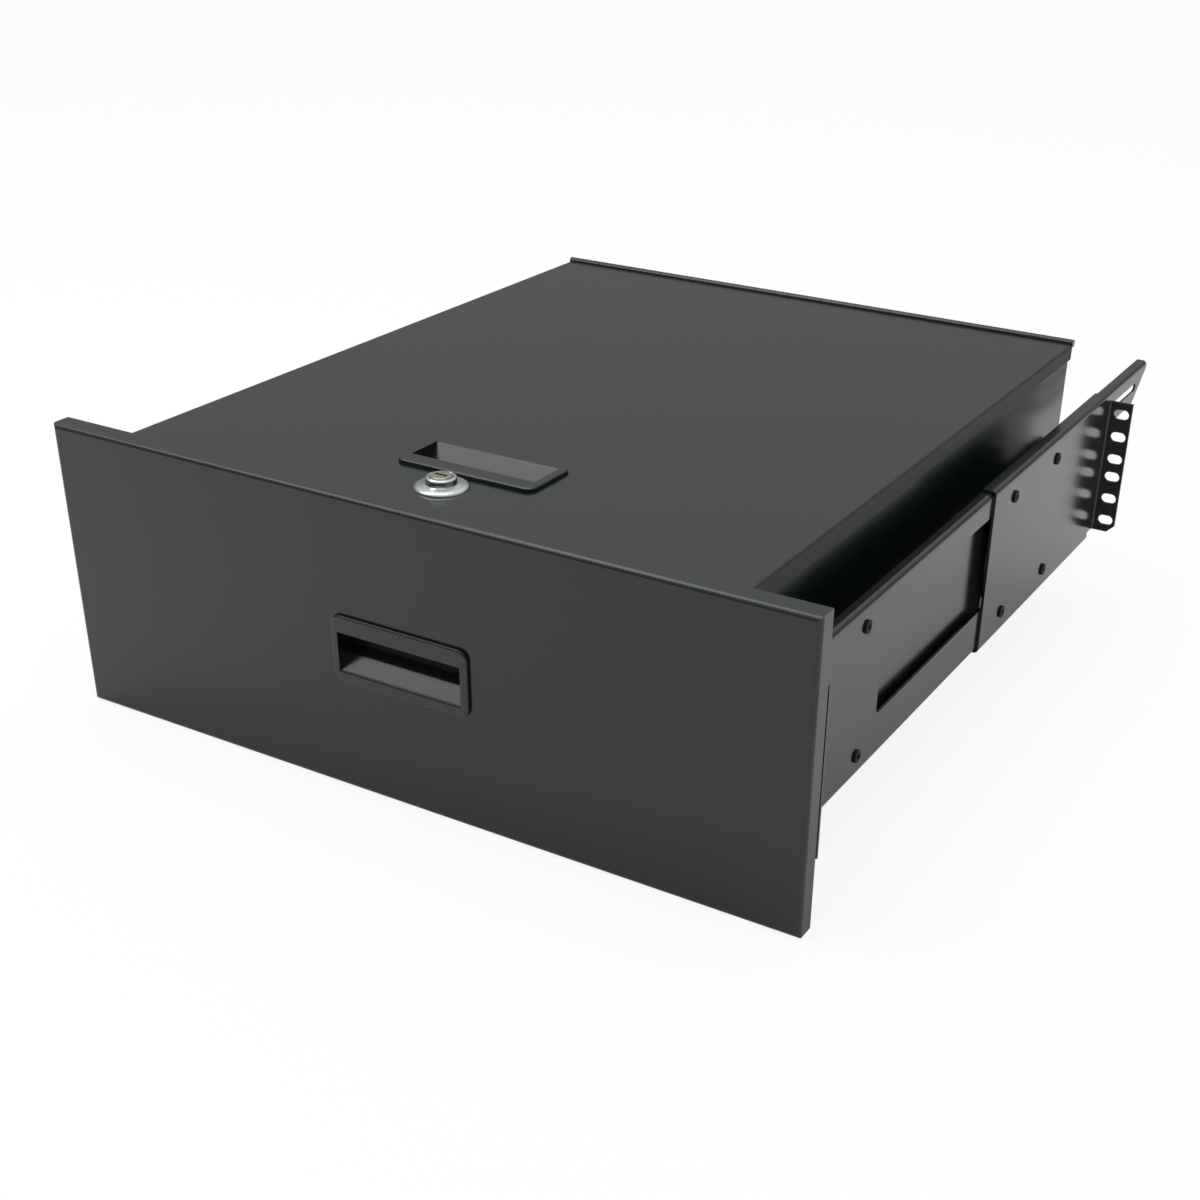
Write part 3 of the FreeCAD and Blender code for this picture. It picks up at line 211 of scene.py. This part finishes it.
def painted_sheet(name, colour, peel, peel_height, gloss, ior, side_haze=0.0):
    """Paint on folded sheet: orange peel, slight waves of the sheet and uneven gloss."""
    material, tree = new_material(name)
    place = add_node(tree, "ShaderNodeTexCoord").outputs["Object"]
    waves = add_node(tree, "ShaderNodeTexNoise", None,
                     {"Vector": place, "Scale": 1 / SHEET_WAVE, "Detail": 1.0})
    uneven = add_node(tree, "ShaderNodeBump", None,
                      {"Height": waves.outputs["Fac"], "Distance": SHEET_WAVE_HEIGHT, "Strength": 1.0})
    grain = add_node(tree, "ShaderNodeTexNoise", None, {"Vector": place, "Scale": 1 / peel, "Detail": 2.0})
    relief = add_node(tree, "ShaderNodeBump", None,
                      {"Height": grain.outputs["Fac"], "Distance": peel_height, "Strength": 1.0,
                       "Normal": uneven.outputs[0]})
    shine = add_node(tree, "ShaderNodeMapRange", None,
                     {"Value": waves.outputs["Fac"], "From Min": NOISE_SPREAD[0], "From Max": NOISE_SPREAD[1],
                      "To Min": gloss[0], "To Max": gloss[1]})
    skin = add_node(tree, "ShaderNodeNewGeometry")
    facing = add_node(tree, "ShaderNodeSeparateXYZ", None, {0: skin.outputs["Normal"]})
    sideways = add_node(tree, "ShaderNodeMath", {"operation": "ABSOLUTE"}, {0: facing.outputs["X"]})
    haze = add_node(tree, "ShaderNodeMath", {"operation": "MULTIPLY_ADD"},
                    {0: sideways.outputs[0], 1: side_haze, 2: shine.outputs[0]})
    surface = add_node(tree, "ShaderNodeBsdfPrincipled", None,
                       {"Base Color": linear(colour), "Roughness": haze.outputs[0],
                        "Normal": relief.outputs[0], "IOR": ior})
    add_node(tree, "ShaderNodeOutputMaterial", None, {"Surface": surface.outputs[0]})
    return material


for name, side_haze, coated in COATED:
    coat = painted_sheet(name, COAT_BLACK, COAT_PEEL, COAT_PEEL_HEIGHT, COAT_GLOSS, COAT_IOR, side_haze)
    dress(coat, *coated)


# Rails, rear brackets and slide carriers: punched and folded sheet, dipped in black enamel.
# The dipped coat flows out smoother than powder, so the bracket's web mirrors its flange.
DIP_BLACK = "131a17"
DIP_IOR = 1.55
DIP_GLOSS = (0.15, 0.19)
DIP_PEEL = 1.6 * MILLIMETRE
DIP_PEEL_HEIGHT = 0.0015 * MILLIMETRE
dip_enamel = painted_sheet("black_dip_enamel", DIP_BLACK, DIP_PEEL, DIP_PEEL_HEIGHT, DIP_GLOSS, DIP_IOR)
dress(dip_enamel, "front_rail_*", "rear_bracket_*", "rear_carrier_*")


# Front slide carriers: a strap joggled inwards behind its screwed foot, so that its plate
# stands just inside the rail and shows through the rail's window. A spacer bar welded behind the
# plate takes the slide. Enamelled with the rail.
CARRIER_SHEET = 1.5
CARRIER_HALF_HEIGHT = 46.0
CARRIER_LINE = ((220.5, 69.0), (220.5, 102.0), (217.5, 107.0), (217.5, 275.0))     # seen from above
CARRIER_FOLD = 2.5
FOLD_STEPS = 4
SPACER_BAR = ((210.5, 115.0, -12.0), (216.5, 268.0, 12.0))      # its low and high corner
BAR_EDGE = 1.0
BAR_EDGE_STEPS = 2
SMOOTH_BELOW = math.radians(30)     # edges that turn less than this are shaded as one surface


def bevelled(shape, geom, radius, segments, affect="EDGES"):
    """Round the given edges or corners of a bmesh."""
    return bmesh.ops.bevel(shape, geom=geom, offset=radius, segments=segments, profile=0.5, affect=affect,
                           clamp_overlap=True, material=-1)


def of_kind(items, kind):
    """The vertices, edges or faces among an operator's results."""
    return [item for item in items if isinstance(item, kind)]


def edges_of(verts):
    """The edges that end at any of these vertices, each once."""
    return list(dict.fromkeys(edge for vert in verts for edge in vert.link_edges))


def finished(name, shape, place, material):
    """A bmesh in millimetres, set in place, turned to metres and given its finish."""
    bmesh.ops.transform(shape, matrix=Matrix.Scale(MILLIMETRE, 4) @ place, verts=shape.verts)
    for face in shape.faces:
        face.smooth = True
    made = new_object(name, shape)
    made.data.set_sharp_from_angle(angle=SMOOTH_BELOW)
    made.data.materials.append(material)
    return made


for side in ("left", "right"):
    strap = bmesh.new()
    line = [strap.verts.new((x, y, -CARRIER_HALF_HEIGHT)) for x, y in CARRIER_LINE]
    edges = [strap.edges.new(pair) for pair in zip(line, line[1:])]
    raised = of_kind(bmesh.ops.extrude_edge_only(strap, edges=edges)["geom"], bmesh.types.BMVert)
    bmesh.ops.translate(strap, verts=raised, vec=(0, 0, 2 * CARRIER_HALF_HEIGHT))
    folds = [edge for edge in strap.edges if len(edge.link_faces) == 2]
    bevelled(strap, folds, CARRIER_FOLD, FOLD_STEPS)
    back = bmesh.ops.extrude_face_region(strap, geom=strap.faces[:], use_keep_orig=True)
    back_verts = of_kind(back["geom"], bmesh.types.BMVert)
    bmesh.ops.translate(strap, verts=back_verts, vec=(-CARRIER_SHEET, 0, 0))
    low, high = (Vector(corner) for corner in SPACER_BAR)
    bar_place = Matrix.Translation((low + high) / 2) @ Matrix.Diagonal((*(high - low), 1))
    bar = bmesh.ops.create_cube(strap, size=1, matrix=bar_place)
    bevelled(strap, edges_of(bar["verts"]), BAR_EDGE, BAR_EDGE_STEPS)
    bmesh.ops.recalc_face_normals(strap, faces=strap.faces)
    if side == "left":
        bmesh.ops.transform(strap, matrix=Matrix.Scale(-1, 4, (1, 0, 0)), verts=strap.verts)
        bmesh.ops.reverse_faces(strap, faces=strap.faces)
    carrier = finished(f"front_carrier_{side}_folded", strap, Matrix.Identity(4), dip_enamel)
    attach(carrier, "rails")
    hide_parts(f"front_carrier_{side}")


# Recessed pulls: one moulding in black ABS, used in the panel and in the lid. The rim stands
# off the sheet, the floor slopes out to the rim's low edge, and fingers reach up behind the
# high edge. The mould's spark-eroded grain is drawn coarser than the real 0.1 mm to show.
ABS_BLACK = "0b0f0f"
MOULD_GRAIN = 0.35 * MILLIMETRE
MOULD_GRAIN_HEIGHT = 0.004 * MILLIMETRE
PANEL_FACE = -15.6
LID_TOP = 86.1
LID_PULL_MIDDLE = 65.0
PULL_WALL = 1.1
PULL_HALF_SIZE = (45.0, 20.0)
PULL_CORNER = 6.0
PULL_CORNER_STEPS = 8
PULL_RIM = 2.4                      # how far the rim stands off the sheet
PULL_EDGE = ((0.0, -1.0), (0.18, -1.7), (0.7, -2.22), (1.4, -PULL_RIM))     # inset and depth
PULL_HALF_OPENING = 40.4
PULL_POCKET = ((-PULL_RIM, -14.4), (-2.28, -13.9), (-1.9, -13.3), (-1.2, -12.5),      # the low lip
               (5.4, -5.9), (6.6, -4.85), (7.9, -4.2), (9.2, -3.85), (10.4, -3.6),    # the floor
               (5.6, 5.0), (7.8, 8.5), (7.8, 14.5), (0.0, 14.5),                      # back and finger room
               (0.0, 10.0), (-PULL_RIM, 10.0))                                        # the high lip
TOUCHING = 0.001                    # points this near to a plane lie in it


def pull_face():
    """The face of a pull, which looks along -Y: its pocket, its rim and the flat between them."""
    shape = bmesh.new()
    outline = [shape.verts.new((-PULL_HALF_OPENING, depth, height)) for depth, height in PULL_POCKET]
    far_end = bmesh.ops.extrude_face_region(shape, geom=[shape.faces.new(outline)], use_keep_orig=True)
    far_verts = of_kind(far_end["geom"], bmesh.types.BMVert)
    bmesh.ops.translate(shape, verts=far_verts, vec=(2 * PULL_HALF_OPENING, 0, 0))
    mouth = [face for face in shape.faces if all(abs(vert.co.y + PULL_RIM) < TOUCHING for vert in face.verts)]
    mouth_edges = mouth[0].edges[:]
    bmesh.ops.delete(shape, geom=mouth, context="FACES_ONLY")
    half_width, half_height = PULL_HALF_SIZE
    corners = [shape.verts.new((x * half_width, 0, z * half_height))
               for x, z in ((-1, -1), (1, -1), (1, 1), (-1, 1))]
    plate = shape.faces.new(corners)
    others = set(shape.faces) - {plate}
    bevelled(shape, corners, PULL_CORNER, PULL_CORNER_STEPS, "VERTICES")
    plate = (set(shape.faces) - others).pop()
    loop = plate.edges[:]
    bmesh.ops.delete(shape, geom=[plate], context="FACES_ONLY")
    inset_before = 0.0
    depth_before = 0.0
    for inset, depth in PULL_EDGE:
        ring = bmesh.ops.extrude_edge_only(shape, edges=loop)["geom"]
        verts = of_kind(ring, bmesh.types.BMVert)
        loop = [edge for edge in of_kind(ring, bmesh.types.BMEdge) if set(edge.verts) <= set(verts)]
        narrower = [(size - inset) / (size - inset_before) for size in PULL_HALF_SIZE]
        bmesh.ops.scale(shape, verts=verts, vec=(narrower[0], 1, narrower[1]))
        bmesh.ops.translate(shape, verts=verts, vec=(0, depth - depth_before, 0))
        inset_before, depth_before = inset, depth
    bmesh.ops.triangle_fill(shape, edges=loop + mouth_edges, use_beauty=True)
    bmesh.ops.recalc_face_normals(shape, faces=shape.faces)
    foremost = min(shape.faces, key=lambda face: face.calc_center_median().y)
    if foremost.normal.y > 0:
        bmesh.ops.reverse_faces(shape, faces=shape.faces)
    return shape


moulded_abs, tree = new_material("moulded_abs")
place = add_node(tree, "ShaderNodeTexCoord").outputs["Object"]
grain = add_node(tree, "ShaderNodeTexVoronoi", {"feature": "F1"}, {"Vector": place, "Scale": 1 / MOULD_GRAIN})
relief = add_node(tree, "ShaderNodeBump", None,
                  {"Height": grain.outputs["Distance"], "Distance": MOULD_GRAIN_HEIGHT, "Strength": 1.0})
surface = add_node(tree, "ShaderNodeBsdfPrincipled", None,
                   {"Base Color": linear(ABS_BLACK), "Roughness": 0.22, "IOR": 1.54,
                    "Normal": relief.outputs[0]})
add_node(tree, "ShaderNodeOutputMaterial", None, {"Surface": surface.outputs[0]})

lid_turn = Matrix.Rotation(math.pi, 4, "Z") @ Matrix.Rotation(-math.pi / 2, 4, "X")
pull_places = (("front_pull", "drawer", Matrix.Translation((0, PANEL_FACE, 0))),
               ("lid_pull", "lid", Matrix.Translation((0, LID_PULL_MIDDLE, LID_TOP)) @ lid_turn))
for node, body, place in pull_places:
    pull = finished(node + "_moulding", pull_face(), place, moulded_abs)
    wall = pull.modifiers.new("wall", "SOLIDIFY")
    wall.thickness = PULL_WALL * MILLIMETRE
    wall.offset = -1
    flat_faces = pull.modifiers.new("flat_faces", "WEIGHTED_NORMAL")
    flat_faces.keep_sharp = True
    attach(pull, body)
    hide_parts(node)


# Cam lock: a die-cast zinc cylinder with a wide collar and a raised hub, chromed, screwed
# tight from under the lid. Its body is threaded, with two flats that stop it turning. The
# plug inside it is nickel-plated brass.
LOCK_AXIS = (0.0, 27.4)
LOCK_BORE = 6.05
LOCK_COLLAR = (15.0, 2.4)           # radius and height above the lid
LOCK_HUB = (8.5, 6.4)
LOCK_THREAD = (9.5, 0.55, 1.25)     # radius, depth and pitch
LOCK_BODY_END = 17.0
LOCK_FLAT = 8.0                     # from the axis to each flat
LOCK_SIDES = 64
MERGE_DISTANCE = 0.0001
THREAD_CREST = (0.4, 0.6)           # where a crest starts and ends, as shares of the pitch
METAL_UNEVENNESS = 0.15             # how far the roughness strays, as a share of it


def bare_metal(name, colour, roughness, line, line_height, stretch=(1, 1, 1)):
    """Unpainted metal with a fine relief of the given spacing, drawn out along an axis by stretch."""
    material, tree = new_material(name)
    place = add_node(tree, "ShaderNodeTexCoord").outputs["Object"]
    drawn = add_node(tree, "ShaderNodeMapping", None, {"Vector": place, "Scale": stretch})
    lines = add_node(tree, "ShaderNodeTexNoise", None,
                     {"Vector": drawn.outputs[0], "Scale": 1 / line, "Detail": 3.0})
    relief = add_node(tree, "ShaderNodeBump", None,
                      {"Height": lines.outputs["Fac"], "Distance": line_height, "Strength": 1.0})
    smoothest, roughest = roughness * (1 - METAL_UNEVENNESS), roughness * (1 + METAL_UNEVENNESS)
    haze = add_node(tree, "ShaderNodeMapRange", None,
                    {"Value": lines.outputs["Fac"], "From Min": NOISE_SPREAD[0], "From Max": NOISE_SPREAD[1],
                     "To Min": smoothest, "To Max": roughest})
    surface = add_node(tree, "ShaderNodeBsdfPrincipled", None,
                       {"Base Color": linear(colour), "Metallic": 1.0, "Roughness": haze.outputs[0],
                        "Normal": relief.outputs[0]})
    add_node(tree, "ShaderNodeOutputMaterial", None, {"Surface": surface.outputs[0]})
    return material


def spun(profile, sides, closed=True):
    """A bmesh turned round Z from (radius, height) points."""
    shape = bmesh.new()
    line = [shape.verts.new((radius, 0, height)) for radius, height in profile]
    edges = [shape.edges.new(pair) for pair in zip(line, line[1:])]
    if closed:
        edges.append(shape.edges.new((line[-1], line[0])))
    bmesh.ops.spin(shape, geom=line + edges, axis=(0, 0, 1), angle=2 * math.pi, steps=sides, use_merge=True)
    bmesh.ops.remove_doubles(shape, verts=shape.verts, dist=MERGE_DISTANCE)
    bmesh.ops.recalc_face_normals(shape, faces=shape.faces)
    return shape


def thread_profile(radius, depth, pitch, start, end):
    """Crests and roots of a thread going down, as (radius, height) points."""
    turns = int((start - end) / pitch)
    points = []
    for index in range(turns):
        top = start - index * pitch
        points.append((radius - depth, top))
        points += [(radius, top - pitch * share) for share in THREAD_CREST]
    return points + [(radius - depth, start - turns * pitch)]


collar_radius, collar_top = LOCK_COLLAR
hub_radius, hub_top = LOCK_HUB
thread_radius, thread_depth, thread_pitch = LOCK_THREAD
bore_mouth = [(LOCK_BORE, 0), (LOCK_BORE, hub_top - 0.4), (LOCK_BORE + 0.4, hub_top)]
hub_groove = [(hub_radius - 1.5, hub_top), (hub_radius - 1.3, hub_top - 0.2), (hub_radius - 1.1, hub_top)]
hub_edge = [(hub_radius - 0.7, hub_top - 0.06), (hub_radius - 0.3, hub_top - 0.3),
            (hub_radius - 0.06, hub_top - 0.7), (hub_radius, hub_top - 1.1)]
hub_foot = [(hub_radius, collar_top + 0.7), (hub_radius + 0.2, collar_top + 0.2),
            (hub_radius + 0.7, collar_top)]
collar_edge = [(collar_radius - 2.4, collar_top - 0.15), (collar_radius - 1.2, collar_top - 0.5),
               (collar_radius - 0.4, collar_top - 1.1), (collar_radius, collar_top - 1.8), (collar_radius, 0)]
lock_shape = spun(bore_mouth + hub_groove + hub_edge + hub_foot + collar_edge, LOCK_SIDES)

body_thread = thread_profile(thread_radius, thread_depth, thread_pitch, 0, -LOCK_BODY_END)
body_end = [(thread_radius - thread_depth, -LOCK_BODY_END), (LOCK_BORE, -LOCK_BODY_END)]
lock_body = spun([(LOCK_BORE, 0)] + body_thread + body_end, LOCK_SIDES)
for side in (1, -1):
    everything = lock_body.verts[:] + lock_body.edges[:] + lock_body.faces[:]
    cut = bmesh.ops.bisect_plane(lock_body, geom=everything, plane_co=(0, side * LOCK_FLAT, 0),
                                 plane_no=(0, side, 0), clear_outer=True)
    bmesh.ops.holes_fill(lock_body, edges=of_kind(cut["geom_cut"], bmesh.types.BMEdge))
bmesh.ops.recalc_face_normals(lock_body, faces=lock_body.faces)
body_mesh = bpy.data.meshes.new("lock_body")
lock_body.to_mesh(body_mesh)
lock_body.free()
lock_shape.from_mesh(body_mesh)

chromed_zinc = bare_metal("chromed_zinc", colour="c9cccd", roughness=0.16,
                          line=4 * MILLIMETRE, line_height=0.004 * MILLIMETRE)
lock_place = Matrix.Translation((*LOCK_AXIS, LID_TOP))
lock_cylinder = finished("lock_cylinder", lock_shape, lock_place, chromed_zinc)
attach(lock_cylinder, "lid")
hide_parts("lock_housing")

plug_nickel = bare_metal("nickel_plated_brass", colour="b4b1a8", roughness=0.24,
                         line=0.5 * MILLIMETRE, line_height=0.001 * MILLIMETRE)
dress(plug_nickel, "lock_plug")


# Screws of the rails and brackets: low-head hex-socket screws in black oxide, whose threads
# end in nuts on the inside. The oxide is a dead matt black with a slight bloom. The panel's
# screws and the slides' screws and rivets have the same finish.
OXIDE_DARK = "0b0c0d"
OXIDE_LIGHT = "16181a"
OXIDE_BLOOM = 0.8 * MILLIMETRE
SCREW_HEAD = (3.8, 1.4)             # radius and height
SCREW_SOCKET = (1.5, 0.9)           # half the width across flats, and depth
SCREW_SOCKET_RING = 2.1             # where the head's flat top ends round the socket
SCREW_THREAD = (2.5, 0.4, 0.8)      # radius, depth and pitch
SCREW_NECK = 0.8                    # plain length under the head
SCREW_RUN_OUT = 0.1
SCREW_POINT = (0.2, 0.3)            # how far the end tapers in, and over what length
SCREW_END = 6.0
SCREW_SIDES = 24
SCREW_ROWS = (-38.1, 38.1)
CARRIER_SCREWS_ALONG = (86.0,)
BRACKET_SCREWS_ALONG = (300.0, 377.0)


def socket_screw():
    """One screw's mesh, its head towards +Z and its bearing face at Z zero."""
    radius, height = SCREW_HEAD
    thread_radius, thread_depth, thread_pitch = SCREW_THREAD
    flat, socket_depth = SCREW_SOCKET
    profile = [(SCREW_SOCKET_RING, height), (radius - 0.5, height), (radius - 0.15, height - 0.12),
               (radius, height - 0.4), (radius, 0.1), (radius - 0.1, 0), (thread_radius, 0),
               (thread_radius, -SCREW_NECK)]
    taper, point_length = SCREW_POINT
    profile += thread_profile(thread_radius, thread_depth, thread_pitch, -SCREW_NECK - SCREW_RUN_OUT,
                              -SCREW_END + point_length)
    profile += [(thread_radius - thread_depth - taper, -SCREW_END), (0, -SCREW_END)]
    shape = spun(profile, SCREW_SIDES, closed=False)
    ring = [edge for edge in shape.edges if edge.is_boundary]
    corner = flat / math.cos(math.pi / 6)
    made = bmesh.ops.create_circle(shape, cap_ends=False, segments=6, radius=corner)
    split = bmesh.ops.subdivide_edges(shape, edges=edges_of(made["verts"]), cuts=SCREW_SIDES // 6 - 1)["geom"]
    mouth = list(dict.fromkeys(vert for edge in of_kind(split, bmesh.types.BMEdge) for vert in edge.verts))
    bmesh.ops.translate(shape, verts=mouth, vec=(0, 0, height))
    mouth_edges = [edge for edge in shape.edges if edge.verts[0] in mouth and edge.verts[1] in mouth]
    bmesh.ops.bridge_loops(shape, edges=ring + mouth_edges)
    walls = bmesh.ops.extrude_edge_only(shape, edges=mouth_edges)["geom"]
    foot = of_kind(walls, bmesh.types.BMVert)
    bmesh.ops.translate(shape, verts=foot, vec=(0, 0, -socket_depth))
    foot_edges = [edge for edge in of_kind(walls, bmesh.types.BMEdge)
                  if edge.verts[0] in foot and edge.verts[1] in foot]
    bmesh.ops.contextual_create(shape, geom=foot_edges)
    bmesh.ops.recalc_face_normals(shape, faces=shape.faces)
    mesh = bpy.data.meshes.new("socket_screw")
    shape.to_mesh(mesh)
    shape.free()
    return mesh


def screw_group(node, body, along):
    """Screws in place of a CAD node, at each place along the rail and in both rows."""
    low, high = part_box(node)
    outwards = 1 if high.x > 0 else -1
    bearing = (high.x if outwards > 0 else low.x) / MILLIMETRE - outwards * SCREW_HEAD[1]
    facing = Matrix.Rotation(outwards * math.pi / 2, 4, "Y")
    shape = bmesh.new()
    for y in along:
        for z in SCREW_ROWS:
            before = len(shape.verts)
            shape.from_mesh(screw_mesh)
            shape.verts.ensure_lookup_table()
            place = Matrix.Translation((bearing, y, z)) @ facing
            bmesh.ops.transform(shape, matrix=place, verts=shape.verts[before:])
    piece = finished(node + "_threaded", shape, Matrix.Identity(4), black_oxide)
    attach(piece, body)
    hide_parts(node)


black_oxide, tree = new_material("black_oxide_steel")
place = add_node(tree, "ShaderNodeTexCoord").outputs["Object"]
bloom = add_node(tree, "ShaderNodeTexNoise", None,
                 {"Vector": place, "Scale": 1 / OXIDE_BLOOM, "Detail": 3.0})
shade = add_node(tree, "ShaderNodeMix", {"data_type": "RGBA"},
                 {0: bloom.outputs["Fac"], 6: linear(OXIDE_DARK), 7: linear(OXIDE_LIGHT)})
surface = add_node(tree, "ShaderNodeBsdfPrincipled", None,
                   {"Base Color": shade.outputs[2], "Roughness": 0.55, "IOR": 1.3})
add_node(tree, "ShaderNodeOutputMaterial", None, {"Surface": surface.outputs[0]})
dress(black_oxide, "panel_screws", "slide_screws_*", "slide_rivets_*")

screw_mesh = socket_screw()
for side in ("left", "right"):
    screw_group(f"carrier_screws_{side}", "rails", CARRIER_SCREWS_ALONG)
    screw_group(f"bracket_screws_{side}", f"rear_bracket_{side}", BRACKET_SCREWS_ALONG)


# Nuts, standoffs, the hinge's pin and box rivets, and the lock's cam: turned or stamped
# steel, plated with bright zinc, which gives a soft grey shine with almost no relief.
zinc_plate = bare_metal("bright_zinc_plate", colour="a9aba8", roughness=0.3,
                        line=0.6 * MILLIMETRE, line_height=0.002 * MILLIMETRE)
dress(zinc_plate, "bracket_nuts_*", "carrier_nuts_*", "panel_standoffs", "hinge_pin", "hinge_box_rivets",
      "keeper_rivets", "lock_nut", "lock_cam", "lock_cam_nut")


# Ball-bearing slides: cold-rolled members in black zinc, bright strip cages and polished
# steel balls. Rolling leaves fine lines that run along the members and the cages.
ZINC_DARK = "232527"
ZINC_LIGHT = "34373a"
ROLL_LINE = 0.5 * MILLIMETRE
ROLL_LINE_HEIGHT = 0.002 * MILLIMETRE
ROLL_STRETCH = (1, 0.02, 1)
black_zinc, tree = new_material("black_zinc_steel")
place = add_node(tree, "ShaderNodeTexCoord").outputs["Object"]
drawn = add_node(tree, "ShaderNodeMapping", None, {"Vector": place, "Scale": ROLL_STRETCH})
lines = add_node(tree, "ShaderNodeTexNoise", None,
                 {"Vector": drawn.outputs[0], "Scale": 1 / ROLL_LINE, "Detail": 2.0})
relief = add_node(tree, "ShaderNodeBump", None,
                  {"Height": lines.outputs["Fac"], "Distance": ROLL_LINE_HEIGHT, "Strength": 1.0})
shade = add_node(tree, "ShaderNodeMix", {"data_type": "RGBA"},
                 {0: lines.outputs["Fac"], 6: linear(ZINC_DARK), 7: linear(ZINC_LIGHT)})
surface = add_node(tree, "ShaderNodeBsdfPrincipled", None,
                   {"Base Color": shade.outputs[2], "Metallic": 0.8, "Roughness": 0.34,
                    "Normal": relief.outputs[0]})
add_node(tree, "ShaderNodeOutputMaterial", None, {"Surface": surface.outputs[0]})
dress(black_zinc, "slide_outer_member_*", "slide_middle_member_*", "slide_inner_member_*")

cage_strip = bare_metal("rolled_steel_strip", colour="a6a8a8", roughness=0.3,
                        line=ROLL_LINE, line_height=0.001 * MILLIMETRE, stretch=ROLL_STRETCH)
dress(cage_strip, "slide_outer_cage_*", "slide_inner_cage_*")

ball_steel = bare_metal("polished_ball_steel", colour="c9cbce", roughness=0.08,
                        line=1.0 * MILLIMETRE, line_height=0.0002 * MILLIMETRE)
dress(ball_steel, "slide_outer_balls_*", "slide_inner_balls_*")


# Slide bumpers: moulded rubber blocks that the members close against, matt and a little
# mottled as moulded rubber is.
RUBBER_DARK = "181818"
RUBBER_LIGHT = "222222"
RUBBER_MOTTLE = 0.5 * MILLIMETRE
RUBBER_MOTTLE_HEIGHT = 0.01 * MILLIMETRE
rubber, tree = new_material("moulded_rubber")
place = add_node(tree, "ShaderNodeTexCoord").outputs["Object"]
mottle = add_node(tree, "ShaderNodeTexNoise", None,
                  {"Vector": place, "Scale": 1 / RUBBER_MOTTLE, "Detail": 3.0})
shade = add_node(tree, "ShaderNodeMix", {"data_type": "RGBA"},
                 {0: mottle.outputs["Fac"], 6: linear(RUBBER_DARK), 7: linear(RUBBER_LIGHT)})
relief = add_node(tree, "ShaderNodeBump", None,
                  {"Height": mottle.outputs["Fac"], "Distance": RUBBER_MOTTLE_HEIGHT, "Strength": 1.0})
surface = add_node(tree, "ShaderNodeBsdfPrincipled", None,
                   {"Base Color": shade.outputs[2], "Roughness": 0.75, "Normal": relief.outputs[0]})
add_node(tree, "ShaderNodeOutputMaterial", None, {"Surface": surface.outputs[0]})
dress(rubber, "slide_bumper_*")
